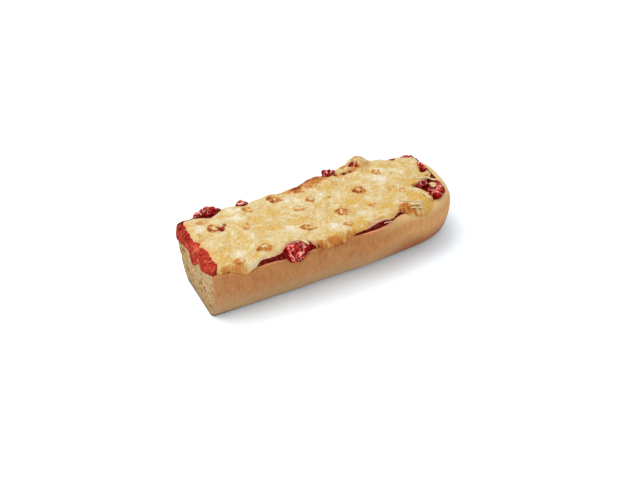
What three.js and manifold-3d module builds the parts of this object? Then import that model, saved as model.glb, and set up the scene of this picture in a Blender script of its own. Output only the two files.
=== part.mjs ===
/**
 * Cheese pizza on half a baguette: a piece of split bread with one flat cut end
 * and one round end, tomato sauce on its split face and down the cut end, soft
 * pieces of tomato round the edge, and a blanket of melted cheese with blisters.
 *
 * Millimetres. X runs along the loaf from the cut end to the round end, -Y is
 * the side with the long cheese drips, +Z is up. The origin is the middle of
 * the box's underside, and the loaf rests on its flat bottom.
 *
 * Every solid is a skin over the loaf. A place on the loaf is (s, a): s runs
 * once round its outline, 0-1 along the near side, 1-2 round the end, 2-3 back
 * along the far side, 3-4 across the cut end; a is the distance out over the
 * split face, round its edge and down the wall, with a = 0 where the edge
 * starts to turn down.
 */
import * as THREE from 'three';
import { mergeVertices } from 'three/addons/utils/BufferGeometryUtils.js';
import Module from 'manifold-3d';

const wasm = await Module();
wasm.setup();

// ---------------------------------------------------------------- bread sizes
const CUT_X = -100; // the flat cut end
const ROUND_X = 50; // where the sides start to close in to the round end
const TIP_X = 94; // tip of the round end at the split face
const TIP_BULGE = 4; // how far the tip stands out below the split face
const TIP_BASE_X = 96; // tip where the loaf meets its flat bottom
const TIP_POWER = { near: 2.35, far: 3 }; // squareness of the round end's sides, 2 is an ellipse
const BREAD_TOP = 41.4; // height of the split face
const BULGE_Z = 29; // height of the widest part of the wall
const WALL_POWER = 1.5; // roundness of the lower corners
const EDGE_RADIUS = 2.5; // rounding where the split face meets the wall
const CORNER = 1.5; // small corner between the sides and the cut end
const MIDLINE_Y = -3; // the spine that the outline is drawn round
const SPINE = [-70, ROUND_X]; // its two ends along X

// Half widths along the loaf, as [x, half width].
const NEAR_RIM = [
  [-100, 30.5], [-72, 34.8], [-50, 35.2], [-30, 36.4], [5, 36.6], [24, 38], [36, 35.2], [46, 31.8],
  [55, 31], [70, 32], [100, 32],
];
const FAR_RIM = [
  [-100, 31.6], [-79, 33.8], [-52, 30.8], [-14, 30], [8, 34.6], [34, 36.4], [60, 33], [100, 32.4],
];
const NEAR_BASE = [[-100, 24.6], [10, 24.2], [50, 23], [100, 20]];
const FAR_BASE = [[-100, 18.5], [0, 20], [50, 19], [100, 18]];
// How far each wall stands out below its rim, as [x, bulge].
const NEAR_BULGE = [[-100, 1.5], [26, 1.5], [36, 2.8], [46, 4.6], [60, 4.8], [100, 5]];
const FAR_BULGE = [[-100, 3.4], [-80, 4.8], [-60, 5], [100, 5]];

// -------------------------------------------------------------- topping sizes
const GAP = 0.33; // clear space between one solid and the next
const SAUCE_THICK = 2.1;
const SAUCE_THICK_RUN = 0.9; // where it has run over the edge and down
const SAUCE_THINS_TO = 6; // distance out at which it has thinned to that
const SAUCE_EDGE = 2.4; // width of the sauce's rounded edge
const SAUCE_REACH = 0.8; // how far it spreads past the start of the bread's edge
const CHEESE_THICK = 2.3;
const CHEESE_THICK_RUN = 1.2; // where it hangs over the bread's edge
const CHEESE_THINS_FROM = -1; // distance out at which it starts to thin
const CHEESE_EDGE = 4.2;
const CHEESE_REACH = 2.6;
const CHEESE_DRAW_IN = 9; // its spread grows from nothing over this length from the cut end

// Slow unevenness: how much, and which stretch of the pattern.
const SAUCE_EDGE_WAVER = { amount: 0.5, phase: 1 };
const CHEESE_EDGE_WAVER = { amount: 0.6, phase: 4 };
const CHEESE_TOP_WAVER = { amount: 0.35, phase: 7 };
const WAVER_SHARES = [0.55, 0.45]; // of the short waves and the long slanting ones
const SHORT_WAVE = [7.3, 6.1]; // mm per radian along X and Y
const LONG_WAVE = [12.9, 9.7];

// Where an edge hangs lower or draws back, as [x, y, change of reach, radius].
const SAUCE_EDGE_FEATURES = [
  [24, -38, -0.4, 22], [-40, -36, 1, 12], [-62, -36, -0.2, 8], [94, -3, -2.6, 24],
  [76, 24, 1, 9], [-80, 33, 1, 10], [18, 32, 0.8, 8], [-99, 28, 9.5, 7],
];
const CHEESE_EDGE_FEATURES = [
  [-88, -33, -2.4, 8], [-76, -35, 1.8, 5], [-61, -36, -4.5, 8.5], [-36, -36, -12, 12.6],
  [-20.5, -37, 6.5, 3.8], [-7, -37, 1.8, 9], [8, -37, -1.8, 7], [27, -38, -5.4, 14.5],
  [47, -31.5, -3.2, 5], [62.5, -33, 5.4, 6.6], [56.5, -34, 2.2, 3.6], [68, -31, 1.6, 4],
  [88.9, -14.6, -21, 8.5], [84, -22.5, -8, 7.5], [93, 0, -5, 12], [88.5, 11, -9.5, 6.2],
  [80, 24, -5, 8], [68, 29, -5, 5], [19, 32.5, -8, 7.5], [44, 33, 2.5, 6], [-51, 30, -5.6, 6],
  [-79, 33, -9, 12.5],
];
// How far the sauce runs down the cut end, as [y at the top, reach], from near to far.
const CUT_RUN = [
  [-27, 1.8], [-22, 3.5], [-16, 6.5], [-10, 10], [-6.5, 7.5], [-2, 12], [3.5, 17.5],
  [8, 11], [15, 11.5], [20, 14], [26, 16],
];
// How far the cheese stops short of the cut end, as [y, gap].
const CUT_MARGIN = [[-30, 5.5], [-10, 3.4], [5, 1.6], [12, 0.4], [30, 0.8]];

// Blisters and humps in the cheese, as [x, y, height, radius].
const CHEESE_HUMPS = [
  [-29.5, 21, 1.4, 5.4], [30, 3.4, 1.4, 5.4], [8.6, -13, 1.4, 5.6], [-20, -18, 1.1, 5.4],
  [-57.5, -24, 1.3, 5.6], [-59.5, 3, 1.1, 5.8], [-81, 11, 1.4, 5.4], [-17.5, 3.6, 0.9, 5.4],
  [-6, 9, 1, 5], [51.4, 16, 1.1, 5.4], [51.4, -28, 1.1, 5.4], [-51, 19, 1, 5.6],
  [44, 33, 5.4, 7.6], [-10.6, 22.5, 0.9, 5], [2.6, 23.5, 1.2, 5.2], [57, -10, 0.8, 6.5],
  [6.4, -27, 0.8, 5.6], [-38, 1, 0.7, 7.5], [68, 4, 0.9, 7.5], [31, -16, 0.6, 5], [-30, 29, 1.6, 5],
  [8, 29, 0.8, 7], [-70.5, -34, 1, 4], [-79, -28, 0.9, 5],
];
const HUMP_POWER = 1.4; // flatness of a hump's top
// Soft tomato pieces, as [x, y, length along the edge, width across it, height].
const TOMATO_PIECES = [
  [-37, -32.5, 20, 11.8, 3.4], [-77.5, 31, 22, 7, 4.2], [-51, 28.8, 9, 5, 2.8], [19.5, 31.5, 12, 7, 3.6],
  [82.3, 22.4, 15, 4.6, 1.3], [84.5, 9.5, 13, 7, 2.4], [81.7, -18.3, 23, 10.6, 3.4],
  [76.8, -7.6, 13, 7.8, 3],
];
const TOMATO_LOBES = [0.07, 0.05]; // unevenness of the outline, of its radius
const TOMATO_LUMPS = [0.16, 0.1]; // unevenness of the height
const TOMATO_NARROWING = 0.35; // how much shorter the side that hangs out is
const TOMATO_RIM = 0.25; // thickness of the edge, of the height

// ---------------------------------------------------------------- mesh density
// Rays along a side, round the end and across the cut end.
const BREAD_RAYS = [28, 20, 18];
const CHEESE_RAYS = [58, 30, 14];
const CHEESE_STEPS = 12; // rings from the spine to the edge
const BREAD_WALL_STEPS = 9;
const WALL_RING_POWER = 1.15; // above 1 the wall's rings crowd towards the round lower corner
const EDGE_ARC = (EDGE_RADIUS * Math.PI) / 2;
const EDGE_RINGS = [0, EDGE_ARC / 3, (2 * EDGE_ARC) / 3, EDGE_ARC]; // rings that every skin shares
const WALL_RINGS = [7, 11, 16, 22];
const EDGE_RING_SHARES = [1, 0.45, 0.15, 0]; // rings of a layer's rounded edge, as shares of its width
const TOMATO_RAYS = 18;
const TOMATO_RINGS = [0, 0.35, 0.62, 0.84, 1]; // of the outline's radius

// -------------------------------------------------------------------- helpers
/** Smooth curve through [x, y] stations: cubic pieces that share their slopes. */
function along(stations, x) {
  const last = stations.length - 1;
  let i = 0;
  while (i < last - 1 && x > stations[i + 1][0]) i += 1;
  const slope = (k) => {
    const [x0, y0] = stations[Math.max(k - 1, 0)];
    const [x1, y1] = stations[Math.min(k + 1, last)];
    return (y1 - y0) / (x1 - x0);
  };
  const [xa, ya] = stations[i];
  const [xb, yb] = stations[i + 1];
  const width = xb - xa;
  const t = THREE.MathUtils.clamp((x - xa) / width, 0, 1);
  const h = t * t * (3 - 2 * t);
  const rise = t * (1 - t) * ((1 - t) * slope(i) - t * slope(i + 1)) * width;
  return ya * (1 - h) + yb * h + rise;
}

/** Sum of round changes at a plan point, bell-shaped or, at a higher power, flat-topped. */
function features(list, x, y, power = 1) {
  return list.reduce((sum, [fx, fy, amount, radius]) => {
    const d2 = ((x - fx) ** 2 + (y - fy) ** 2) / radius ** 2;
    return sum + amount * Math.exp(-(d2 ** power));
  }, 0);
}

/** Slow unevenness of a hand-made surface: short waves crossed with long slanting ones. */
function waver({ amount, phase }, x, y) {
  const short = Math.sin(x / SHORT_WAVE[0] + 1.7 * phase) * Math.cos(y / SHORT_WAVE[1] + phase);
  const long = Math.sin(x / LONG_WAVE[0] - y / LONG_WAVE[1] + 2.3 * phase);
  return amount * (WAVER_SHARES[0] * short + WAVER_SHARES[1] * long);
}

// --------------------------------------------------------------- loaf surface
/** Half width at height z: round lower corner up to the widest part, then in to the rim. */
function wallHalf(rim, base, bulge, z) {
  const widest = rim + bulge;
  if (z >= BULGE_Z) {
    return widest - bulge * ((z - BULGE_Z) / (BREAD_TOP - BULGE_Z)) ** 2;
  }
  const rest = 1 - Math.max(z, 0) / BULGE_Z;
  return base + (widest - base) * (1 - rest ** WALL_POWER) ** (1 / WALL_POWER);
}

/** Y of the near and the far wall, and X of the tip, at height z. */
const nearY = (x, z) => -wallHalf(along(NEAR_RIM, x), along(NEAR_BASE, x), along(NEAR_BULGE, x), z);
const farY = (x, z) => wallHalf(along(FAR_RIM, x), along(FAR_BASE, x), along(FAR_BULGE, x), z);
const tipX = (z) => wallHalf(TIP_X, TIP_BASE_X, TIP_BULGE, z);

const PARTS = 4; // near side, round end, far side, cut end

/** Plan point of the loaf's outline at height z, drawn in by inset. */
function outline(s, z, inset) {
  const part = Math.floor(s) % PARTS;
  const t = s - Math.floor(s);
  const start = CUT_X + CORNER + inset;
  if (part === 0) {
    const x = start + (ROUND_X - start) * t;
    return [x, nearY(x, z) + inset];
  }
  if (part === 1) {
    const turn = Math.PI * (t - 0.5);
    const power = turn < 0 ? TIP_POWER.near : TIP_POWER.far;
    const reach = Math.cos(turn) ** (2 / power);
    const x = ROUND_X + (tipX(z) - inset - ROUND_X) * reach;
    const side = Math.abs(Math.sin(turn)) ** (2 / power);
    const edge = turn < 0 ? nearY(x, z) + inset : farY(x, z) - inset;
    return [x, MIDLINE_Y + (edge - MIDLINE_Y) * side];
  }
  if (part === 2) {
    const x = ROUND_X + (start - ROUND_X) * t;
    return [x, farY(x, z) - inset];
  }
  const far = farY(CUT_X, z) - inset - CORNER;
  const near = nearY(CUT_X, z) + inset + CORNER;
  return [CUT_X + inset, far + (near - far) * t];
}

const LAST_OF_PART = 0.9999; // the far end of a part, just before the next one starts

/** The place values s of every ray, with both sides of each corner of the cut end. */
function raysOf([side, end, cut]) {
  return [side, end, side, cut].flatMap((count, part) => {
    const list = Array.from({ length: count }, (_, i) => part + i / count);
    return (part < 2 ? list : [...list, part + LAST_OF_PART]).map(makeRay);
  });
}

const SPREAD = [0.008, 0.012, 0.008, 0.02]; // steps in s, by part, that measure the outline's direction

/** One ray of the loaf: where it starts, its spine point and its outward direction. */
function makeRay(s) {
  const wrap = (v) => (v + PARTS) % PARTS;
  const [x, y] = outline(s, BREAD_TOP, EDGE_RADIUS);
  const stepOf = (v) => SPREAD[Math.floor(wrap(v))];
  const [xb, yb] = outline(wrap(s - stepOf(s - SPREAD[0])), BREAD_TOP, 0);
  const [xf, yf] = outline(wrap(s + stepOf(s + SPREAD[0])), BREAD_TOP, 0);
  const length = Math.hypot(xf - xb, yf - yb);
  const spineX = THREE.MathUtils.clamp(x, SPINE[0], SPINE[1]);
  const inward = Math.hypot(spineX - x, MIDLINE_Y - y);
  return { s, x, y, outX: (yf - yb) / length, outY: (xb - xf) / length, spineX, inward };
}

/** Point at distance a along a ray and height h above the bread's skin. */
function onSkin(ray, a, h) {
  if (a <= 0) {
    const t = Math.min(-a / ray.inward, 1);
    const x = ray.x + (ray.spineX - ray.x) * t;
    const y = ray.y + (MIDLINE_Y - ray.y) * t;
    return new THREE.Vector3(x, y, BREAD_TOP + h);
  }
  const turn = Math.min(a / EDGE_RADIUS, Math.PI / 2);
  const drop = Math.max(a - EDGE_ARC, 0);
  const z = BREAD_TOP - EDGE_RADIUS * (1 - Math.cos(turn)) - drop;
  const [x, y] = outline(ray.s, z, EDGE_RADIUS * (1 - Math.sin(turn)));
  const out = h * Math.sin(turn);
  return new THREE.Vector3(x + ray.outX * out, y + ray.outY * out, z + h * Math.cos(turn));
}

// ------------------------------------------------------------ topping surface
const onCutEnd = (ray) => ray.s >= 3;

/** How far the sauce spreads along a ray. */
function sauceReach(ray) {
  if (onCutEnd(ray)) return along(CUT_RUN, ray.y);
  const spread = SAUCE_REACH + waver(SAUCE_EDGE_WAVER, ray.x, ray.y);
  return spread + features(SAUCE_EDGE_FEATURES, ray.x, ray.y);
}

/** How far the cheese spreads along a ray. */
function cheeseReach(ray) {
  if (onCutEnd(ray)) return -along(CUT_MARGIN, ray.y);
  const drawIn = THREE.MathUtils.smoothstep(ray.x, CUT_X, CUT_X + CHEESE_DRAW_IN);
  const spread = CHEESE_REACH + waver(CHEESE_EDGE_WAVER, ray.x, ray.y);
  return spread * drawIn + features(CHEESE_EDGE_FEATURES, ray.x, ray.y);
}

/** Thickness of a layer at distance a, tapering to a rounded edge at its reach. */
function layerThickness(thick, edge, reach, a) {
  const inside = THREE.MathUtils.clamp((reach - a) / edge, 0, 1);
  return thick * Math.sqrt(1 - (1 - inside) ** 2);
}

/** Thickness of the sauce away from its edge: thinner where it has run over the bread's edge. */
function sauceBody(a) {
  const run = THREE.MathUtils.smoothstep(a, 0, SAUCE_THINS_TO);
  return SAUCE_THICK + (SAUCE_THICK_RUN - SAUCE_THICK) * run;
}

/** Thickness of the cheese away from its edge: thinner where it hangs over the bread's edge. */
function cheeseBody(a) {
  const hanging = THREE.MathUtils.smoothstep(a, CHEESE_THINS_FROM, EDGE_ARC);
  return CHEESE_THICK + (CHEESE_THICK_RUN - CHEESE_THICK) * hanging;
}

/** Thickness of the sauce at distance a along a ray. */
function sauceHeight(ray, a, grow = 0) {
  return layerThickness(sauceBody(a), SAUCE_EDGE, sauceReach(ray) + grow, a);
}

/** Height above the bread's skin where something rests on the sauce. */
const restHeight = (ray, a) => 2 * GAP + sauceHeight(ray, a);

/** Thickness of the cheese, with its humps and slow unevenness. */
function cheeseHeight(ray, a, grow = 0) {
  const { x, y } = onSkin(ray, a, 0);
  const humps = features(CHEESE_HUMPS, x, y, HUMP_POWER);
  const uneven = cheeseBody(a) + waver(CHEESE_TOP_WAVER, x, y) + humps;
  return layerThickness(uneven, CHEESE_EDGE, cheeseReach(ray) + grow, a);
}

// --------------------------------------------------------------------- solids
/** Closed solid from rings of points: neighbours are joined, and points that coincide are welded. */
function solidFromRings(rings) {
  const count = rings[0].length;
  const positions = rings.flatMap((ring) => ring.flatMap((p) => [p.x, p.y, p.z]));
  const loose = new THREE.BufferGeometry();
  loose.setAttribute('position', new THREE.Float32BufferAttribute(positions, 3));
  const index = [];
  for (let r = 0; r < rings.length - 1; r += 1) {
    for (let i = 0; i < count; i += 1) {
      const j = (i + 1) % count;
      const [a, b, c, d] = [r * count + i, r * count + j, (r + 1) * count + j, (r + 1) * count + i];
      index.push(a, c, b, a, d, c);
    }
  }
  loose.setIndex(index);
  const welded = mergeVertices(loose, 1e-3);
  const kept = [];
  const ids = welded.index.array;
  for (let k = 0; k < ids.length; k += 3) {
    const [a, b, c] = [ids[k], ids[k + 1], ids[k + 2]];
    if (a !== b && b !== c && c !== a) kept.push(a, b, c);
  }
  welded.setIndex(kept);
  return faceOutwards(welded);
}

/** The same geometry with its triangles turned so that they enclose a positive volume. */
function faceOutwards(geometry) {
  const p = geometry.attributes.position;
  const ids = geometry.index.array;
  const v = [new THREE.Vector3(), new THREE.Vector3(), new THREE.Vector3()];
  let volume = 0;
  for (let k = 0; k < ids.length; k += 3) {
    v.forEach((corner, c) => corner.fromBufferAttribute(p, ids[k + c]));
    volume += v[0].dot(v[1].clone().cross(v[2])) / 6;
  }
  if (volume < 0) geometry.setIndex([...ids].reverse());
  return geometry;
}

/** Cutting solid from a closed geometry. */
function toManifold(geometry) {
  const vertProperties = new Float32Array(geometry.attributes.position.array);
  const triVerts = new Uint32Array(geometry.index.array);
  return new wasm.Manifold(new wasm.Mesh({ numProp: 3, vertProperties, triVerts }));
}

/** A geometry with others cut away from it; of what is left, the largest body. */
function trimmed(geometry, cutters) {
  const rest = cutters.reduce((body, cutter) => body.subtract(toManifold(cutter)), toManifold(geometry));
  const largest = rest.decompose().reduce((a, b) => (a.volume() > b.volume() ? a : b));
  const { vertProperties, triVerts } = largest.getMesh();
  const result = new THREE.BufferGeometry();
  result.setAttribute('position', new THREE.BufferAttribute(vertProperties, 3));
  result.setIndex(new THREE.BufferAttribute(triVerts, 1));
  return result;
}

const MIN_STEP = 0.08; // rings closer than this are drawn together

/** Rings that follow a layer's rounded edge. */
const edgeRings = (reach, edge) => EDGE_RING_SHARES.map((share) => reach - share * edge);

/** Distances of a skin's rings along a ray, from the spine out to its reach. */
function ringDistances(ray, reach, rim, innerSteps) {
  const inner = Array.from({ length: innerSteps }, (_, i) => -ray.inward * (1 - i / innerSteps));
  const all = [...inner, ...EDGE_RINGS, ...WALL_RINGS, ...rim, reach];
  const sorted = all.map((a) => Math.min(a, reach)).sort((p, q) => p - q);
  for (let i = sorted.length - 2; i >= 0; i -= 1) {
    if (sorted[i + 1] - sorted[i] < MIN_STEP) sorted[i] = sorted[i + 1];
  }
  sorted[0] = -ray.inward;
  return sorted;
}

/** A layer between two heights: top rings outwards from the spine, then bottom rings back to it. */
function layer({ rayCounts, reachOf, edge, bottom, topOf, steps }) {
  const rayList = raysOf(rayCounts);
  const face = (rimOf, innerSteps, heightOf) => {
    const distances = rayList.map((ray) => ringDistances(ray, reachOf(ray), rimOf(ray), innerSteps));
    const point = (r) => (ray, i) => onSkin(ray, distances[i][r], heightOf(ray, distances[i][r]));
    return distances[0].map((_, r) => rayList.map(point(r)));
  };
  const upper = face((ray) => edgeRings(reachOf(ray), edge), steps, topOf);
  const lower = face(() => [], 1, () => bottom);
  return solidFromRings([...upper, ...lower.reverse()]);
}

/** The bread, larger by grow: split face from the spine out, rounded edge, wall and flat bottom. */
function breadSolid(grow = 0) {
  const rayList = raysOf(BREAD_RAYS);
  const rings = [];
  rings.push(rayList.map((ray) => onSkin(ray, -ray.inward, grow)));
  EDGE_RINGS.forEach((a) => rings.push(rayList.map((ray) => onSkin(ray, a, grow))));
  const wallTop = BREAD_TOP - EDGE_RADIUS;
  for (let k = 1; k <= BREAD_WALL_STEPS; k += 1) {
    const z = wallTop * (1 - k / BREAD_WALL_STEPS) ** WALL_RING_POWER;
    const point = (ray) => {
      const [x, y] = outline(ray.s, z, 0);
      return new THREE.Vector3(x + ray.outX * grow, y + ray.outY * grow, z);
    };
    rings.push(rayList.map(point));
  }
  rings.push(rayList.map((ray) => new THREE.Vector3(ray.spineX, MIDLINE_Y, 0)));
  return solidFromRings(rings);
}

const SEARCH_STEPS = 200; // places tried in each part to find the nearest ray

/** The place value s of the ray that passes nearest to a plan point. */
function nearestPlace(x, y) {
  const gapTo = (s) => {
    const [sx, sy] = outline(s, BREAD_TOP, EDGE_RADIUS);
    return Math.hypot(sx - x, sy - y);
  };
  const places = Array.from({ length: PARTS * SEARCH_STEPS }, (_, i) => i / SEARCH_STEPS);
  return places.reduce((best, s) => (gapTo(s) < gapTo(best) ? s : best));
}

/** How much s changes per millimetre along the outline. */
function placesPerMm(s) {
  const step = SPREAD[Math.floor(s)];
  const [xb, yb] = outline((s + PARTS - step) % PARTS, BREAD_TOP, EDGE_RADIUS);
  const [xf, yf] = outline((s + step) % PARTS, BREAD_TOP, EDGE_RADIUS);
  return (2 * step) / Math.hypot(xf - xb, yf - yb);
}

/** A soft tomato piece: a lumpy mound lying on the skin round a plan point. */
function tomatoSolid([px, py, length, width, height], seed) {
  const s0 = nearestPlace(px, py);
  const perMm = placesPerMm(s0);
  const centre = makeRay(s0);
  const a0 = (px - centre.x) * centre.outX + (py - centre.y) * centre.outY;
  const place = (k, turn, heightOver) => {
    const wave3 = TOMATO_LOBES[0] * Math.sin(3 * turn + seed);
    const wave5 = TOMATO_LOBES[1] * Math.sin(5 * turn + 2.1 * seed);
    const radius = 0.5 * k * (1 + wave3 + wave5);
    const narrowed = 1 - TOMATO_NARROWING * Math.max(Math.sin(turn), 0);
    const ray = makeRay((s0 + length * radius * narrowed * Math.cos(turn) * perMm + PARTS) % PARTS);
    const a = a0 + width * radius * Math.sin(turn);
    return onSkin(ray, a, heightOver(a));
  };
  const ring = (k, heightAt) =>
    Array.from({ length: TOMATO_RAYS }, (_, i) => {
      const turn = (2 * Math.PI * i) / TOMATO_RAYS;
      return place(k, turn, heightAt(turn));
    });
  const mound = (k) => (turn) => (a) => {
    const wave2 = TOMATO_LUMPS[0] * Math.sin(2 * turn + 1.3 * seed);
    const wave3 = TOMATO_LUMPS[1] * Math.cos(3 * turn + seed);
    const dome = Math.sqrt(1 - k * k) * (1 + k * (wave2 + wave3));
    return 2 * GAP + sauceBody(a) + height * (k < 1 ? dome : TOMATO_RIM);
  };
  const underside = () => () => 2 * GAP;
  const top = TOMATO_RINGS.map((k) => ring(k, mound(k)));
  const bottom = [1, 0].map((k) => ring(k, underside));
  return solidFromRings([...top, ...bottom]);
}

// ------------------------------------------------------------------- assembly
const BREAD_LOOK = new THREE.MeshStandardMaterial({ color: 0xc08a55, roughness: 0.85, metalness: 0 });
const SAUCE_LOOK = new THREE.MeshStandardMaterial({ color: 0xa8301f, roughness: 0.4, metalness: 0 });
const CHEESE_LOOK = new THREE.MeshStandardMaterial({ color: 0xe8cf92, roughness: 0.45, metalness: 0 });
const TOMATO_LOOK = new THREE.MeshStandardMaterial({ color: 0xb5202a, roughness: 0.25, metalness: 0 });

/** Named mesh of one piece. */
function piece(name, geometry, material) {
  geometry.computeVertexNormals();
  const mesh = new THREE.Mesh(geometry, material);
  mesh.name = name;
  return mesh;
}

const sauce = layer({
  rayCounts: BREAD_RAYS,
  reachOf: sauceReach,
  edge: SAUCE_EDGE,
  bottom: GAP,
  topOf: (ray, a) => GAP + sauceHeight(ray, a),
  steps: 1,
});
const rawCheese = layer({
  rayCounts: CHEESE_RAYS,
  reachOf: cheeseReach,
  edge: CHEESE_EDGE,
  bottom: 2 * GAP,
  topOf: (ray, a) => restHeight(ray, a) + cheeseHeight(ray, a),
  steps: CHEESE_STEPS,
});
// The bread and the layers, a gap larger all round: they cut what lies on them.
const CUTTER_BOTTOM = -1; // the cutting layers reach this far into the bread
const breadSpace = breadSolid(GAP);
const sauceSpace = layer({
  rayCounts: BREAD_RAYS,
  reachOf: (ray) => sauceReach(ray) + GAP,
  edge: SAUCE_EDGE,
  bottom: CUTTER_BOTTOM,
  topOf: (ray, a) => 2 * GAP + sauceHeight(ray, a, GAP),
  steps: 1,
});
const cheeseSpace = layer({
  rayCounts: CHEESE_RAYS,
  reachOf: (ray) => cheeseReach(ray) + GAP,
  edge: CHEESE_EDGE,
  bottom: CUTTER_BOTTOM,
  topOf: (ray, a) => GAP + restHeight(ray, a) + cheeseHeight(ray, a, GAP),
  steps: CHEESE_STEPS,
});

const group = new THREE.Group();
group.add(piece('bread', breadSolid(), BREAD_LOOK));
group.add(piece('tomato_sauce', sauce, SAUCE_LOOK));
group.add(piece('melted_cheese', trimmed(rawCheese, [breadSpace, sauceSpace]), CHEESE_LOOK));
TOMATO_PIECES.forEach((sizes, i) => {
  const showing = trimmed(tomatoSolid(sizes, i + 1), [breadSpace, sauceSpace, cheeseSpace]);
  group.add(piece(`tomato_piece_${i + 1}`, showing, TOMATO_LOOK));
});

// The origin is the middle of the underside of the whole box.
const box = new THREE.Box3().setFromObject(group);
group.position.set(-(box.min.x + box.max.x) / 2, -(box.min.y + box.max.y) / 2, 0);

export default group;
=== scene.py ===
"""Half-baguette cheese pizza: bread, tomato sauce, soft tomato and melted cheese.

Every food surface is a skin over the loaf, worked out as whole numpy arrays. A place on the
loaf is (s, a): s runs once round its outline, 0-1 along the near side, 1-2 round the end, 2-3
back along the far side, 3-4 across the cut end; a is the distance out over the split face,
round its edge and down the wall, with a = 0 where the edge starts to turn down. Sizes in this
file are millimetres on the loaf's own axes until shift_to_frame() puts them in the row frame.
"""

import math
from itertools import product
from types import SimpleNamespace

import bpy
import numpy as np
from bpy.props import FloatProperty, FloatVectorProperty, PointerProperty
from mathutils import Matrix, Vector


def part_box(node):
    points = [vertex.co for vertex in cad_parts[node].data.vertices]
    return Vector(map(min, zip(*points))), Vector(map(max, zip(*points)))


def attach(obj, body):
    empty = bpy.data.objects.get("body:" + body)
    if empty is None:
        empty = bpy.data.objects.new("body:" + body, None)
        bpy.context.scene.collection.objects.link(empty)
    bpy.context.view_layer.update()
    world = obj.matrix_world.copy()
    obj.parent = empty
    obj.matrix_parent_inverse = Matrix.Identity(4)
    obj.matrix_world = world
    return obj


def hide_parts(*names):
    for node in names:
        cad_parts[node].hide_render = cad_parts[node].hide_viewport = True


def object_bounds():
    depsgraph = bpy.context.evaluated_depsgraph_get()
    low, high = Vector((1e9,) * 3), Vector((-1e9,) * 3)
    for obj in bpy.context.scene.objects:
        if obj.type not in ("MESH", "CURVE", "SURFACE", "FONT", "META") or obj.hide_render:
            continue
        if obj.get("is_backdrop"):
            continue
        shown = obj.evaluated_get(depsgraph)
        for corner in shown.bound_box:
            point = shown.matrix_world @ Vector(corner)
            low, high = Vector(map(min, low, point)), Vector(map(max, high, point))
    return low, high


bl_info = {
    "name": "Half-baguette cheese pizza",
    "version": (1, 0, 0),
    "blender": (4, 5, 0),
    "location": "3D View > Sidebar > Pizza",
    "description": "Builds the bread, sauce, cheese and tomato of a half-baguette cheese pizza",
    "category": "Add Mesh",
}

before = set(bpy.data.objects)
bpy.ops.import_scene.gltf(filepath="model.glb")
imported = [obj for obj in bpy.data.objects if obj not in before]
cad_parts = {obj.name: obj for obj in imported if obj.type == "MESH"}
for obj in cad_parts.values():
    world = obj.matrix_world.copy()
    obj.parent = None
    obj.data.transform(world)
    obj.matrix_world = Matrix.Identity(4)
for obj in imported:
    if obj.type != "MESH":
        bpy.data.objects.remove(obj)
CAD_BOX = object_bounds()
MM = 0.001

# ------------------------------------------------------------------ bread sizes, mm
CUT_X = -100.0  # the flat cut end
ROUND_X = 50.0  # where the sides start to close in to the round end
TIP_X = 94.0
TIP_BULGE = 4.0
TIP_BASE_X = 96.0
TIP_POWER = (2.35, 3.0)  # squareness of the round end, near and far
BREAD_TOP = 41.4
BULGE_Z = 29.0
# Half widths, and how much the wall bulges past its rim, as stations of x and size.
NEAR_BULGE = [(-100, 1.5), (26, 1.5), (36, 2.8), (46, 4.6), (60, 4.8), (100, 5)]
FAR_BULGE = [(-100, 3.4), (-80, 4.8), (-60, 5), (100, 5)]
NEAR_RIM = [
    (-100, 30.5), (-72, 34.8), (-50, 35.2), (-30, 36.4), (5, 36.6), (24, 38), (36, 35.2),
    (46, 31.8), (55, 31), (70, 32), (100, 32),
]
FAR_RIM = [
    (-100, 31.6), (-79, 33.8), (-52, 30.8), (-14, 30), (8, 34.6), (34, 36.4), (60, 33), (100, 32.4),
]
NEAR_BASE = [(-100, 24.6), (10, 24.2), (50, 23), (100, 20)]
FAR_BASE = [(-100, 18.5), (0, 20), (50, 19), (100, 18)]
WALL_POWER = 1.5
EDGE_RADIUS = 2.5
EDGE_ARC = EDGE_RADIUS * math.pi / 2
WALL_TOP = BREAD_TOP - EDGE_RADIUS
CORNER = 1.5
MIDLINE_Y = -3.0
SPINE = (-70.0, ROUND_X)
SPREAD = np.array([0.008, 0.012, 0.008, 0.02])  # steps in s that measure the outline's direction
LAST_OF_PART = 0.9999
CRUST_RIM = (0.7, 2.6)  # crumb starts this far in from the rim of the cut end
FACE_RIM = (-3.0, -0.6)  # and ends here on the split face
FLAT_BASE = (0.0, 1.5)  # heights over which the crust's lumps set in
END_CRUST = (16, 64)  # x over which the crust becomes that of the round end
BASE_SPAN = 20  # how far the base goes on in the unrolled map

# ---------------------------------------------------------------- topping sizes, mm
LAYER_GAP = 0.33  # clear space that the frame's solids keep between layers
SAUCE_THICK = 2.1
SAUCE_THICK_RUN = 0.9
SAUCE_THINS_TO = 6.0
SAUCE_EDGE = 2.4
SAUCE_REACH = 0.8
SAUCE_BAND = 13.0  # the sauce's rings are fine this far in, and one ring spans the rest
SAUCE_RAGGED_X = (-99, -94)  # x over which its rim on the sides turns ragged
SAUCE_CALM_Y = -29  # its rim on the cut end is even here, and ragged from 4 mm further
SAUCE_FOOT = 0.6  # share of the gap that its top keeps at its rim
SAUCE_UNDERSIDE = 0.02
PULP_DEPTH = (0.05, 0.9)  # thickness over which the pulp starts to stand out
THIN_SAUCE = (0.2, 1.2)  # thickness over which it stops being thin
STAIN_LINE = (0.35, 0.5)  # middle and half width of the stained crust past the sauce's rim
STAIN_SHOWS = (0.3, 1.6)  # widths of bare sauce over which the crust below it is stained
CHEESE_THICK = 2.3
CHEESE_THICK_RUN = 1.2
CHEESE_THINNEST = 0.6
CHEESE_EDGE = 4.2
CHEESE_REACH = 2.6
CHEESE_DRAW_IN = 9.0
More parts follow.
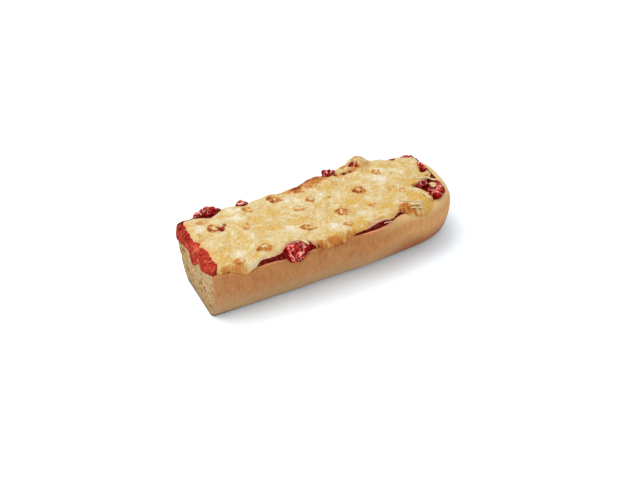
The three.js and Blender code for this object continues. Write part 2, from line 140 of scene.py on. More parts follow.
CHEESE_RAGGED = (1.9, 0.8)  # unevenness of the rim, on the cut end and elsewhere
CHEESE_LIP = (0.2, 3.2)  # how far in from its rim it is golden, fading
CHEESE_BLUSH = (0.0, 1.0)  # and how far in it has taken the sauce's red
BLUSH_SHOWS = (0.5, 2.0)  # widths of bare sauce over which that sets in
BLUSH_ON_CUT = 0.8
SUNK_STAINS = (0.6, 1.7)  # how deep it has sunk where the sauce covers it
BUBBLE_SIZE, BUBBLE_SHARE, BUBBLE_RADIUS = 2.7, 0.4, (0.08, 0.46)
UNDER_CHEESE = 1.7  # how deep the underside of the cheese lies in the sauce
SAUCE_EDGE_WAVER = (0.5, 1)  # amount, phase
CHEESE_EDGE_WAVER = (0.6, 4)
CHEESE_TOP_WAVER = (0.35, 7)
RIM_TUCK = 0.02  # how far an underside stays inside its rim
TOMATO_SUNK = 0.5
TOMATO_UNDERSIDE = 0.3

# Where an edge hangs lower or draws back: x, y, change of reach, radius.
SAUCE_EDGE_FEATURES = [
    (24, -38, -0.4, 22), (-40, -36, 1, 12), (-62, -36, -0.2, 8), (94, -3, -2.6, 24),
    (76, 24, 1, 9), (-80, 33, 1, 10), (18, 32, 0.8, 8), (-99, 28, 9.5, 7),
]
CHEESE_EDGE_FEATURES = [
    (-88, -33, -2.4, 8), (-76, -35, 1.8, 5), (-61, -36, -4.5, 8.5), (-36, -36, -12, 12.6),
    (-20.5, -37, 6.5, 3.8), (-7, -37, 1.8, 9), (8, -37, -1.8, 7), (27, -38, -5.4, 14.5),
    (47, -31.5, -3.2, 5), (62.5, -33, 5.4, 6.6), (56.5, -34, 2.2, 3.6), (68, -31, 1.6, 4),
    (88.9, -14.6, -21, 8.5), (84, -22.5, -8, 7.5), (93, 0, -5, 12), (88.5, 11, -9.5, 6.2),
    (80, 24, -5, 8), (68, 29, -5, 5), (19, 32.5, -8, 7.5), (44, 33, 2.5, 6),
    (-51, 30, -5.6, 6), (-79, 33, -9, 12.5),
]
# Reach on the cut end, as stations of y: how far the sauce runs down, and how far back the
# cheese stays.
CUT_RUN = [
    (-27, 1.8), (-22, 3.5), (-16, 6.5), (-10, 10), (-6.5, 7.5), (-2, 12), (3.5, 17.5),
    (8, 11), (15, 11.5), (20, 14), (26, 16),
]
CUT_MARGIN = [(-30, 5.5), (-10, 3.4), (5, 1.6), (12, 0.4), (30, 0.8)]

# Browned blisters: x, y, height, half length, half width, turn in degrees, how brown.
BLISTERS = [
    (-29.5, 21, 1.2, 6.8, 3.6, -28, 0.85), (30, 3.4, 1.4, 5.6, 4.6, -20, 1.15),
    (8.6, -13, 1.4, 6.0, 4.6, -30, 0.9), (-20, -18, 1.0, 7.0, 3.6, -24, 0.75),
    (-57.5, -24, 1.3, 6.4, 4.2, -20, 0.75), (-59.5, 3, 1.0, 5.0, 4.4, 10, 0.45),
    (-81, 11, 1.3, 5.0, 4.6, -35, 0.8), (-17.5, 3.6, 0.8, 5.6, 3.4, -15, 0.4),
    (-6, 9, 0.9, 4.6, 4.0, -40, 0.6), (51.4, 16, 1.0, 4.6, 3.8, -30, 0.6),
    (51.4, -28, 1.2, 5.8, 4.4, 0, 0.92), (-51, 19, 0.9, 4.4, 3.4, -30, 0.65),
    (-10.6, 22.5, 0.9, 5.4, 3.0, -35, 0.8), (2.6, 23.5, 1.1, 4.8, 3.6, -30, 0.7),
    (59, -11, 0.7, 5.0, 3.6, -30, 0.35), (6.4, -27, 0.7, 5.0, 3.4, -24, 0.4),
    (31, -16, 0.6, 4.6, 3.4, -20, 0.4), (-79, -28, 0.9, 4.6, 3.8, -20, 0.7),
    (51.6, -4.8, 0.6, 4.0, 3.2, -30, 0.3), (60, -31, 0.7, 4.2, 3.6, 0, 0.7),
    (18, 18, 0.6, 4.4, 3.0, -30, 0.35),
]
# Plain humps: x, y, height, radius.
HUMPS = [
    (44, 33, 5.4, 7.6), (8, 29, 0.8, 7), (-70.5, -34, 1.0, 4), (-38, 1, 0.7, 7.5),
    (68, 4, 0.9, 7.5), (-30, 29, 1.6, 5),
]
HUMP_POWER = 1.4
# Stretches of the cheese: x, y, half length, half width, turn in degrees, amount.
BROWNED = [
    (-1, 29, 19, 6.5, 6, 1.1), (-24, 29.5, 9, 4.0, 0, 0.8), (-88, -32, 11, 4.2, -12, 0.7),
    (-8, -37.5, 11, 4.4, 0, 1.15), (-20.5, -37, 4.5, 4.2, 0, 0.9), (3, -37, 8, 3.6, 3, 0.9),
    (18, -35, 10, 2.6, 6, 0.6), (32, 33, 5, 3, 0, 0.6), (57, -36, 7, 3, 0, 0.7),
    (63, -36.4, 3.4, 2.8, 0, 1.2), (66, -32, 8, 3, 10, 0.3), (41, 25, 6, 3, -20, 0.55),
    (27, -31, 18, 1.6, 7, 0.4), (48, 27, 8, 3, 0, 0.3), (-92, 3, 3.5, 20, 3, 0.25),
    (31, 25, 9, 1.6, 6, 0.9), (-87, 21, 8, 4, -20, 0.4), (-84, -12, 9, 5, 30, 0.2),
    (45, 33, 6, 4, 0, 0.45), (51, -27, 7, 4, 0, 0.5),
]
PALE = [
    (-75.6, 26.5, 5, 3, -10, 1.2), (-60, 24.5, 7, 3, 0, 1.1), (-91, 15, 4, 4, 0, 1.0),
    (-17.8, 14.7, 7, 3.4, -25, 1.0), (-33.8, -12.9, 8, 3, -12, 1.0),
    (-5.2, -21.9, 7, 3, -20, 0.9), (-7.3, -1.7, 6, 3, -30, 0.8), (49.9, 7.7, 7, 4, -25, 1.0),
    (27.7, -23.4, 7, 3, -20, 0.9), (-72, -22, 8, 3, 10, 0.9), (-62, 14, 7, 3, -20, 0.8),
    (14, 6, 6, 3.5, -30, 0.7), (38, -10, 6, 3.4, -15, 0.7), (66, 12, 6, 4, -20, 0.6),
    (62, -27, 6, 2, -12, 1.0), (-70, -36, 4.5, 4, 0, 2.2),
]
GOLDEN = [
    (-22.6, -7.7, 8, 4, -25, 0.9), (22.3, -8.3, 8, 4, -25, 0.9), (-3, -34, 10, 3, 0, 0.9),
    (-34.3, 7.8, 7, 4, -20, 0.8), (-88, -24, 9, 5, 10, 0.9), (20, -27, 12, 3.5, 5, 0.8),
    (40, -22, 8, 5, -20, 0.8), (62, -18, 8, 4, -20, 0.7), (70, -6, 6, 4, -30, 0.6),
    (70.5, -26, 7, 5, 60, 1.5), (-46, -6, 7, 3, -20, 0.7), (9, 20, 8, 3.5, -20, 0.5),
    (62, 22, 8, 4, -20, 0.5),
]
# Lips that have run out thin: the amount is the share of thickness lost.
THIN = [(62, -33, 12, 6, 8, 0.5), (-85, -34, 13, 5, 0, 0.4)]
# Places where the cheese has sunk away or run off what is under it: x, y, radius, depth.
BARE = [
    (-75.5, 9, 2.5, 2.6), (-72.0, 11.4, 1.7, 2.4), (-10.6, 24.6, 1.5, 3), (-7.5, 26, 1.3, 3),
    (38.6, 30.6, 1.8, 3.4), (41.5, 28.4, 1.6, 3), (24, 27.5, 1.6, 3), (29.5, 26.6, 1.9, 3),
    (34.5, 26.4, 1.6, 3), (70, 25, 2, 3), (66.5, 28, 1.6, 3), (83.8, 4.2, 2.2, 3.2),
    (-21.5, -34.5, 1.2, 2.2), (8.1, 5.9, 0.9, 1.6), (82.2, -4, 1.4, 3),
]
# Loose strands of cheese: path of x, y, then width, thickness, how pale, how pink from the sauce.
STRANDS = [
    ([(-32.5, -27), (-31.4, -30.5), (-30, -33.8), (-29.6, -35.8)], 2.2, 1.0, 0.1, 0),
    ([(80.8, -12.4), (80.2, -16), (79.1, -20.2)], 4.6, 1.6, -0.1, 0),
    ([(73, -3.6), (78.4, -4.7), (83.5, -5.8), (87.6, -9.3), (90.2, -13.6)], 2.1, 1.1, 0.2, 0),
    ([(70.5, -19), (71.3, -23.8), (72.3, -27.6)], 2.6, 0.8, 0.15, 0),
    ([(56.7, -24.7), (61.4, -25.9), (65.7, -27.3)], 1.0, 0.7, 0.5, 0),
    ([(55.3, -28.1), (59.8, -28.6), (63.7, -29.1)], 1.0, 0.7, 0.5, 0),
    ([(54.6, -29.8), (59.6, -30.4), (63.6, -31)], 1.0, 0.7, 0.5, 0),
    ([(50, -20.3), (54.5, -22.5), (58.3, -23.8)], 1.0, 0.7, 0.4, 0),
    ([(30.6, -34.2), (34.3, -34.1), (38.2, -33.6)], 0.7, 0.5, -0.1, 0.9),
]
PLAN_REACH = 1.0  # how far round a strand's middle line the surface counts
HELD_SLOPE = 0.6  # how steeply a strand can leave a high place
# Soft tomato pieces: x, y, length along the edge, width across it, height.
TOMATO_PIECES = [
    (-37, -32.5, 20, 11.8, 3.4), (-77.5, 31, 22, 7, 2.7), (-51, 28.8, 9, 5, 2.1),
    (19.5, 31.5, 12, 7, 3.6), (82.3, 22.4, 15, 4.6, 1.3), (84.5, 9.5, 13, 7, 2.4),
    (81.7, -18.3, 23, 10.6, 3.4), (76.8, -7.6, 13, 7.8, 3),
]
# By number, how much lower the end is that comes last round the outline.
TOMATO_LEANS = {1: -0.35, 2: 0.4, 3: 0.25}
TOMATO_SHADES = {2: 0.25, 3: 0.7}  # by number, how far its colour goes to deep red

# ------------------------------------------------------------- how fine each surface is
# Rays along each side, round the end and across the cut.
BREAD_RAYS = (250, 210, 170)
SAUCE_RAYS = (230, 200, 150)
CHEESE_RAYS = (276, 220, 110)
# Rings: the bread's on its face, edge, wall and base, the layers' inside and at the rim.
FACE_RINGS, EDGE_RINGS, WALL_RINGS, BASE_RINGS = 14, 9, 76, 8
SAUCE_RINGS = (34, 9)
CHEESE_RINGS = (90, 11)
TOMATO_RINGS, TOMATO_SIDES = 34, 96
STRAND_RINGS, STRAND_SIDES = 36, 16

# ------------------------------------------------------------------------- unevenness
# Noises that add up: amount, size in mm, seed, octaves.
CRUST_LUMPS = [(0.5, 17, 3, 1), (0.16, 5, 5, 2)]
SAUCE_LUMPS = [(0.30, 4.2, 75, 1), (0.08, 1.1, 79, 1)]
CHEESE_LUMPS = [(0.40, 6.5, 95, 1), (0.36, 2.9, 97, 2), (0.22, 1.4, 99, 1)]
# Crumb pores: size in mm, share of cells that have one, depth, seed.
CRUMB_PORES = [(6.5, 0.4, 1.0, 11), (3.4, 0.55, 0.75, 21), (1.9, 0.6, 0.45, 41)]
FIBRE_TURNS = (-12, 24, -44, 70)
FIBRE_WIDTH = 2.3
FIBRE_STRETCH = 3.2
# Parts of a blister, as shares of its size.
BLISTER_MIDDLE = 0.34
BLISTER_RING = 0.62
BLISTER_RING_WIDTH = 0.26
BLISTER_SMUDGE = 0.95

# ---------------------------------------------------------------- camera, light, floor
CAMERA_AZIMUTH = 26.702  # degrees that the view turns from looking along +Y
CAMERA_ELEVATION = 41.016
CAMERA_DISTANCE = 1090.262
CAMERA_TARGET = (-5.934, -6.059, 20.0)
CAMERA_LENS = 85.0
SENSOR_WIDTH = 36.0
CAMERA_CLIP = (0.01, 50)  # metres, as the lamp's sizes are
LAMP_PLACE = (-0.42, 0.30, 1.25)
LAMP_AIM = (0, 0, 0.02)
LAMP_SIZE = 1.1
SKY_COLOUR = (0.98, 0.99, 1.0, 1)


# ==================================================================== curves and noise
def along(stations, x):
    """Smooth curve through stations: a cubic between each pair, with slopes shared at the joins."""
    xs, ys = np.array(stations, float).T
    slope = np.empty_like(xs)
    slope[1:-1] = (ys[2:] - ys[:-2]) / (xs[2:] - xs[:-2])
    slope[0] = (ys[1] - ys[0]) / (xs[1] - xs[0])
    slope[-1] = (ys[-1] - ys[-2]) / (xs[-1] - xs[-2])
    i = np.searchsorted(xs[1:-1], x, side="left")
    width = xs[i + 1] - xs[i]
    t = np.clip((x - xs[i]) / width, 0, 1)
    h = t * t * (3 - 2 * t)
    rise = t * (1 - t) * ((1 - t) * slope[i] - t * slope[i + 1]) * width
    return ys[i] * (1 - h) + ys[i + 1] * h + rise


def smoothstep(x, lo, hi):
    """0 below lo, 1 above hi, and 3t^2 - 2t^3 of the share t between them."""
    t = np.clip((x - lo) / (hi - lo), 0, 1)
    return t * t * (3 - 2 * t)


def bell(x, width=1.0, power=2):
    """e to the minus |x / width|^power."""
    return np.exp(-(np.abs(x / width) ** power))


def features(places, x, y, power=1.0):
    """Sum over places of amount * e^-((distance / radius)^(2 * power))."""
    total = np.zeros_like(x)
    for fx, fy, amount, radius in places:
        total += amount * np.exp(-((((x - fx) ** 2 + (y - fy) ** 2) / radius**2) ** power))
    return total


def turned(x, y, cx, cy, degrees):
    """Coordinates about a centre, along and across a direction."""
    c, s = math.cos(math.radians(degrees)), math.sin(math.radians(degrees))
    return (x - cx) * c + (y - cy) * s, (y - cy) * c - (x - cx) * s


def spots(x, y, places):
    """Highest of the bells over turned ellipses: half length, half width, degrees, amount."""
    most = np.zeros_like(x)
    for px, py, half_length, half_width, degrees, amount in places:
        u, v = turned(x, y, px, py, degrees)
        most = np.maximum(most, amount * bell(np.hypot(u / half_length, v / half_width)))
    return most


def waver(amount_phase, x, y):
    """Slow unevenness: short crossed waves and long slanting ones, weighted 0.55 and 0.45."""
    amount, phase = amount_phase
    short = np.sin(x / 7.3 + 1.7 * phase) * np.cos(y / 6.1 + phase)
    long = np.sin(x / 12.9 - y / 9.7 + 2.3 * phase)
    return amount * (0.55 * short + 0.45 * long)


def lattice(cell, seed):
    """A number from 0 to 1 for each whole-number cell: its coordinates and the seed, hashed."""
    ix, iy, iz = (cell[..., k].astype(np.int64) for k in range(3))
    h = (ix * 374761393 + iy * 668265263 + iz * 1440662683 + seed * 974711) & 0xFFFFFFFF
    h = ((h ^ (h >> 13)) * 1274126177) & 0xFFFFFFFF
    return ((h ^ (h >> 16)) & 0xFFFFFFFF) / 2.0**32


def noise(points, size, seed, octaves=1):
    """Value noise from -1 to 1: random cell corners blended smoothly, at size and its halves."""
    total, norm = 0.0, 0.0
    for octave in range(octaves):
        q = points / (size / 2**octave)
        cell = np.floor(q)
        f = q - cell
        f = f * f * (3 - 2 * f)
        value = 0.0
        for corner in product((0, 1), repeat=3):
            weight = np.prod(np.where(corner, f, 1 - f), axis=-1)
            value = value + weight * lattice(cell + corner, seed + 31 * octave)
        total = total + (2 * value - 1) / 2**octave
        norm += 1 / 2**octave
    return total / norm


def layered(points, layers):
    """Sum of noises, each times its amount."""
    return sum(amount * noise(points, *kind) for amount, *kind in layers)


def pits(points, size, seed):
    """Round pits, one to a cell: distance to the nearest over size, and that pit's number."""
    q = points / size
    cell = np.floor(q)
    best = np.full(points.shape[:-1], np.inf)
    number = np.zeros(points.shape[:-1])
    for step in product((-1, 0, 1), repeat=3):
        there = cell + step
        centre = there + np.stack([lattice(there, seed + k) for k in range(3)], -1)
        gap = np.linalg.norm(q - centre, axis=-1)
        nearer = gap < best
        best = np.where(nearer, gap, best)
        number = np.where(nearer, lattice(there, seed + 7), number)
    return best, number


# ======================================================================== loaf skin
def wall_half(rim, base, bulge, z):
    """Half width at height z: a superellipse up to the widest part, then a parabola to the rim."""
    widest = rim + bulge
    above = widest - bulge * ((z - BULGE_Z) / (BREAD_TOP - BULGE_Z)) ** 2
    rest = np.clip(1 - np.maximum(z, 0) / BULGE_Z, 0, 1)
    below = base + (widest - base) * (1 - rest**WALL_POWER) ** (1 / WALL_POWER)
    return np.where(z >= BULGE_Z, above, below)


def near_y(x, z):
    """Y of the near wall."""
    return -wall_half(along(NEAR_RIM, x), along(NEAR_BASE, x), along(NEAR_BULGE, x), z)


def far_y(x, z):
    """Y of the far wall."""
    return wall_half(along(FAR_RIM, x), along(FAR_BASE, x), along(FAR_BULGE, x), z)


def outline(s, z, inset):
    """Plan point of the outline at height z: straight runs of x on the sides, a superellipse
    round the end, a chord at the cut."""
    s, z, inset = np.broadcast_arrays(*(np.asarray(v, float) for v in (s, z, inset)))
    part = np.floor(s).astype(int) % 4
    t = s - np.floor(s)
    start = CUT_X + CORNER + inset
    x_near = start + (ROUND_X - start) * t
    x_far = ROUND_X + (start - ROUND_X) * t
    turn = math.pi * (t - 0.5)
    power = np.where(turn < 0, *TIP_POWER)
    tip = wall_half(TIP_X, TIP_BASE_X, TIP_BULGE, z)
    x_round = ROUND_X + (tip - inset - ROUND_X) * np.clip(np.cos(turn), 0, 1) ** (2 / power)
    side = np.abs(np.sin(turn)) ** (2 / power)
    edge = np.where(turn < 0, near_y(x_round, z) + inset, far_y(x_round, z) - inset)
    y_round = MIDLINE_Y + (edge - MIDLINE_Y) * side
    y_near, y_far = near_y(x_near, z) + inset, far_y(x_far, z) - inset
    far_end = far_y(CUT_X, z) - inset - CORNER
    near_end = near_y(CUT_X, z) + inset + CORNER
    x = np.choose(part, [x_near, x_round, x_far, CUT_X + inset])
    y = np.choose(part, [y_near, y_round, y_far, far_end + (near_end - far_end) * t])
    return x, y


def rays_at(s):
    """Rays of the loaf at places s: start point, spine point and outward direction, square to
    the chord between the outline's points a step back and a step on."""
    s = np.asarray(s, float)
    x, y = outline(s, BREAD_TOP, EDGE_RADIUS)

    def beside(sign):
        step = SPREAD[np.floor((s + sign * SPREAD[0]) % 4).astype(int)]
        return outline((s + sign * step) % 4, BREAD_TOP, 0)

    (xb, yb), (xf, yf) = beside(-1), beside(1)
    length = np.hypot(xf - xb, yf - yb)
    spine_x = np.clip(x, *SPINE)
    return SimpleNamespace(
        s=s, x=x, y=y, out_x=(yf - yb) / length, out_y=(xb - xf) / length,
        spine_x=spine_x, inward=np.hypot(spine_x - x, MIDLINE_Y - y), on_cut=s % 4 >= 3,
    )


def all_rays(side, end, cut):
    """Rays once round the loaf, the first one repeated at the end so that the skin closes."""
    runs = []
    for part, count in enumerate((side, end, side, cut)):
        runs.append(part + np.arange(count) / count)
        if part >= 2:
            runs.append([part + LAST_OF_PART])
    rays = rays_at(np.concatenate([*runs, [0.0]]))
    steps = np.hypot(np.diff(rays.x), np.diff(rays.y))
    rays.travelled = np.concatenate([[0.0], np.cumsum(steps)])
    rays.start = np.stack([rays.x, rays.y, 0 * rays.x], -1)
    return rays


def on_skin(rays, a, h):
    """Points at distance a along each ray and height h above the skin: flat, then a quarter
    circle, then down the wall."""
    a, h = np.broadcast_arrays(a, h)
    t = np.minimum(np.maximum(-a, 0) / rays.inward, 1)
    flat_x = rays.x + (rays.spine_x - rays.x) * t
    flat_y = rays.y + (MIDLINE_Y - rays.y) * t
    turn = np.clip(a / EDGE_RADIUS, 0, math.pi / 2)
    drop = np.maximum(a - EDGE_ARC, 0)
    z = BREAD_TOP - EDGE_RADIUS * (1 - np.cos(turn)) - drop
    x, y = outline(rays.s, z, EDGE_RADIUS * (1 - np.sin(turn)))
    out = h * np.sin(turn)
    over = np.stack([x + rays.out_x * out, y + rays.out_y * out, z + h * np.cos(turn)], -1)
    flat = np.stack([flat_x, flat_y, BREAD_TOP + h], -1)
    return np.where((a > 0)[..., None], over, flat)


# ================================================================== topping heights
def sauce_reach(rays):
    """How far the sauce spreads along each ray."""
    side = SAUCE_REACH + waver(SAUCE_EDGE_WAVER, rays.x, rays.y)
    side = side + features(SAUCE_EDGE_FEATURES, rays.x, rays.y)
    return np.where(rays.on_cut, along(CUT_RUN, rays.y), side)


def cheese_reach(rays):
    """How far the cheese spreads along each ray."""
    draw_in = smoothstep(rays.x, CUT_X, CUT_X + CHEESE_DRAW_IN)
    side = (CHEESE_REACH + waver(CHEESE_EDGE_WAVER, rays.x, rays.y)) * draw_in
    side = side + features(CHEESE_EDGE_FEATURES, rays.x, rays.y)
    return np.where(rays.on_cut, -along(CUT_MARGIN, rays.y), side)


def bare_sauce(rays, lo, hi):
    """Where sauce shows past the cheese, off the cut end: a smooth step over the width shown."""
    return smoothstep(sauce_reach(rays) - cheese_reach(rays), lo, hi) * ~rays.on_cut


def taper(edge, reach, a):
    """Share of full thickness near a layer's rim: a quarter circle over the edge width."""
    inside = np.clip((reach - a) / edge, 0, 1)
    return np.sqrt(np.maximum(1 - (1 - inside) ** 2, 0))


def cheese_body(a):
    """Cheese thickness away from its rim, thinner where it hangs over the bread's edge."""
    return CHEESE_THICK + (CHEESE_THICK_RUN - CHEESE_THICK) * smoothstep(a, -1.0, EDGE_ARC)


def sauce_body(a):
    """Sauce thickness away from its rim, thinner where it has run over the bread's edge."""
    return SAUCE_THICK + (SAUCE_THICK_RUN - SAUCE_THICK) * smoothstep(a, 0, SAUCE_THINS_TO)


def rest_height(rays, a):
    """Height above the bread where something rests on the sauce."""
    return 2 * LAYER_GAP + sauce_body(a) * taper(SAUCE_EDGE, sauce_reach(rays), a)


def skin_distances(first, reach, edge, inner, rim):
    """Distances of a layer's rings: even steps from the first to the rim's start, then even
    turns of a quarter circle."""
    start = reach - edge
    inside = first + (start - first) * np.linspace(0, 1, inner, endpoint=False)[:, None]
    turns = np.linspace(0, math.pi / 2, rim)[:, None]
    return np.concatenate([inside, start + edge * np.sin(turns)])


# ============================================================================ meshes
def shift_to_frame():
    """From the loaf's own axes to the row frame, mm: the bread's box against its own extremes."""
    low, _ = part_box("bread")
    x = np.linspace(CUT_X, ROUND_X, 600)
    return np.array([low.x / MM - CUT_X, low.y / MM - near_y(x, BULGE_Z).min(), 0.0])


SHIFT = shift_to_frame()
LAID = []  # the grids of every piece made so far, for what is draped over them


def unrolled(rays, down):
    """Map of a skin: how far round the loaf, and how far out and down."""
    return np.stack(np.broadcast_arrays(rays.travelled, down), -1)


def closed_grid(points, marks, uv=None):
    """One closed skin from rings of points: two triangles a cell, coincident points welded,
    faces outwards."""
    rings, columns = points.shape[:2]
    index = np.arange(rings * columns).reshape(rings, columns)
    a, b, c, d = index[:-1, :-1], index[:-1, 1:], index[1:, 1:], index[1:, :-1]
    halves = [np.stack(corners, -1).reshape(-1, 3) for corners in ((a, b, c), (a, c, d))]
    faces = np.concatenate(halves)
    flat = points.reshape(-1, 3)
    _, first, weld = np.unique(np.round(flat, 3), axis=0, return_index=True, return_inverse=True)
    joined = weld.ravel()[faces]
    whole = (joined != np.roll(joined, 1, axis=1)).all(axis=1)
    faces, joined = faces[whole], joined[whole]
    corners = flat[first]
    p, q, r = (corners[joined[:, k]] for k in range(3))
    if np.einsum("ij,ij->", p, np.cross(q, r)) < 0:  # six times the volume
        faces, joined = faces[:, ::-1], joined[:, ::-1]
    uv = np.zeros((rings, columns, 2)) if uv is None else uv
    return SimpleNamespace(
        points=corners, faces=joined, uv=uv.reshape(-1, 2)[faces.ravel()],
        marks={name: values.reshape(-1)[first] for name, values in marks.items()},
    )


def make_piece(name, grids, material, node):
    """Joins closed grids into one smooth mesh in the row frame, which stands for a CAD node."""
    offsets = np.cumsum([0] + [len(g.points) for g in grids[:-1]])
    points = (np.concatenate([g.points for g in grids]) + SHIFT) * MM
    faces = np.concatenate([g.faces + o for g, o in zip(grids, offsets)])
    mesh = bpy.data.meshes.new(name)
    mesh.vertices.add(len(points))
    mesh.vertices.foreach_set("co", points.astype(np.float32).ravel())
    mesh.loops.add(faces.size)
    mesh.loops.foreach_set("vertex_index", faces.astype(np.int32).ravel())
    mesh.polygons.add(len(faces))
    mesh.polygons.foreach_set("loop_start", np.arange(0, faces.size, 3, dtype=np.int32))
    mesh.polygons.foreach_set("loop_total", np.full(len(faces), 3, dtype=np.int32))
    mesh.polygons.foreach_set("use_smooth", np.ones(len(faces), dtype=bool))
    mesh.update(calc_edges=True)
    uv = np.concatenate([g.uv for g in grids]) * MM
    mesh.uv_layers.new(name="round_and_down").data.foreach_set("uv", uv.astype(np.float32).ravel())
    for mark in grids[0].marks:
        values = np.concatenate([g.marks[mark] for g in grids])
        attribute = mesh.attributes.new(mark, "FLOAT", "POINT")
        attribute.data.foreach_set("value", values.astype(np.float32))
    if mesh.validate(verbose=False):
        raise RuntimeError(f"{name} has a broken mesh")
    mesh.materials.append(material)
    piece = bpy.data.objects.new(name, mesh)
    bpy.context.scene.collection.objects.link(piece)
    LAID.extend(grids)
    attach(piece, "root")
    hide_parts(node)


# ------------------------------------------------------------------------------ bread
def bread_grid(settings):
    """The bread: split face from the spine out, rounded edge, wall and flat bottom, each point
    moved out by crust lumps or in by crumb pores."""
    rays = all_rays(*BREAD_RAYS)
    around = len(rays.s)
    out = np.linspace(0, 1, FACE_RINGS, endpoint=False)[:, None]
    edge = np.broadcast_to(np.linspace(0, EDGE_ARC, EDGE_RINGS)[:, None], (EDGE_RINGS, around))
    a = np.concatenate([-rays.inward * (1 - out), edge])
    turn = np.clip(a / EDGE_RADIUS, 0, math.pi / 2)
    flat = np.sin(turn)
    upper_normal = np.stack([rays.out_x * flat, rays.out_y * flat, np.cos(turn)], -1)
    z = WALL_TOP * (1 - np.linspace(0, 1, WALL_RINGS + 1)[1:, None])
    z = np.broadcast_to(z, (WALL_RINGS, around))
    wall_x, wall_y = outline(rays.s, z, 0.0)
    wall_normal = np.stack(np.broadcast_arrays(rays.out_x, rays.out_y, 0 * z), -1)
    inwards = np.linspace(0, 1, BASE_RINGS + 1)[1:, None]
    base_x = wall_x[-1] + (rays.spine_x - wall_x[-1]) * inwards
    base_y = wall_y[-1] + (MIDLINE_Y - wall_y[-1]) * inwards
    bottom = np.stack([base_x, base_y, 0 * base_x], -1)
    points = np.concatenate([on_skin(rays, a, 0.0), np.stack([wall_x, wall_y, z], -1), bottom])
    normals = np.concatenate([upper_normal, wall_normal, 0 * bottom])
    wall_end = EDGE_ARC + WALL_TOP
    down = np.concatenate([a, wall_end - z, wall_end + BASE_SPAN * inwards + 0 * base_x])

    on_cut = np.broadcast_to(rays.on_cut, down.shape)
    y, z = points[..., 1], points[..., 2]
    rim = np.minimum(np.minimum(far_y(CUT_X, z) - y, y - near_y(CUT_X, z)), z)
    face = np.where(on_cut, 0, 1 - smoothstep(down, *FACE_RIM))
    crumb = np.where(on_cut & (down > 0.5), smoothstep(rim, *CRUST_RIM), 0.0)
    crumb = np.maximum(crumb, face)

    wrinkle = 0.1 * noise(points * (1, 1, 0.5), 1.7, 9, 2)
    crust = settings.crust_unevenness / MM * (layered(points, CRUST_LUMPS) + wrinkle)
    depth, opened = np.zeros(down.shape), np.zeros(down.shape)
    for size, share, deep, seed in CRUMB_PORES:
        stretched = points * (1, 0.8, 1.15) + 0.7 * noise(points, 3.0, seed + 3)[..., None]
        gap, number = pits(stretched, size, seed)
        hole = 1 - smoothstep(gap, 0.16 + 0.2 * number, 0.30 + 0.24 * number)
        hole = hole * (number < share)
        depth = np.maximum(depth, deep * hole)
        opened = np.maximum(opened, hole)
    pore = settings.pore_depth / MM * depth + 0.16 * noise(points, 1.1, 61, 2)
    move = (1 - crumb) * crust * smoothstep(z, *FLAT_BASE) - crumb * pore
    marks = {
        "crumb": crumb, "pore": opened * crumb, "split_face": face,
        "round_end": np.broadcast_to(smoothstep(rays.x, *END_CRUST), down.shape),
    }
    middle, half_width = STAIN_LINE
    stain = bell(down - sauce_reach(rays) - middle, half_width)
    marks["stained"] = bare_sauce(rays, *STAIN_SHOWS) * stain
    return closed_grid(points + normals * move[..., None], marks, unrolled(rays, down))


# ------------------------------------------------------------------------------ sauce
def sauce_grid(settings):
    """The sauce between the bread and its rounded top, lumpy with pulp, its rim ragged by noise."""
    rays = all_rays(*SAUCE_RAYS)
    side_rim = 0.45 * noise(rays.start, 3.2, 71, 2) * smoothstep(rays.x, *SAUCE_RAGGED_X)
    cut_rim = 0.9 * noise(rays.start, 2.6, 73, 2) * np.minimum(1, (rays.y - SAUCE_CALM_Y) / 4)
    reach = sauce_reach(rays) + np.where(rays.on_cut, cut_rim, side_rim)
    first = np.maximum(1 - rays.inward, -SAUCE_BAND)
    a = np.concatenate([-rays.inward[None], skin_distances(first, reach, SAUCE_EDGE, *SAUCE_RINGS)])
    base = on_skin(rays, a, 0.0)
    lumps = layered(base, SAUCE_LUMPS) + 0.46 * np.abs(noise(base, 2.8, 77))
    thick = sauce_body(a) * taper(SAUCE_EDGE, reach, a)
    pulp = settings.pulp_height / MM * (lumps - 0.25) * smoothstep(thick, *PULP_DEPTH)
    top = on_skin(rays, a, LAYER_GAP * SAUCE_FOOT + thick + pulp)
    under_a = np.stack([reach, np.minimum(reach, 0.5 * EDGE_ARC) - 0.05, -rays.inward])
    under_a = np.minimum(under_a, reach - RIM_TUCK)
    down = np.concatenate([a, under_a])
    marks = {
        "pulp": np.concatenate([lumps, 0 * under_a]),
        "thin": np.concatenate([1 - smoothstep(thick, *THIN_SAUCE), 1 + 0 * under_a]),
        "on_cut": rays.on_cut + 0 * down,
    }
    points = np.concatenate([top, on_skin(rays, under_a, SAUCE_UNDERSIDE)])
    return closed_grid(points, marks, unrolled(rays, down))


# ----------------------------------------------------------------------------- cheese
def fibres(points, seed):
    """Streaks of melted shreds: noise drawn out along four directions, each one ruling in its
    own soft patches."""
    total, weight = 0.0, 0.0
    for k, degrees in enumerate(FIBRE_TURNS):
        u, v = turned(points[..., 0], points[..., 1], 0, 0, degrees)
        drawn_out = np.stack([u / FIBRE_STRETCH, v, 0 * u], -1)
        streak = noise(drawn_out, FIBRE_WIDTH, seed + 10 * k, 2)
        share = np.exp(3.5 * noise(points, 9.0, seed + 5 + 10 * k))
        total, weight = total + share * streak, weight + share
    return total / weight


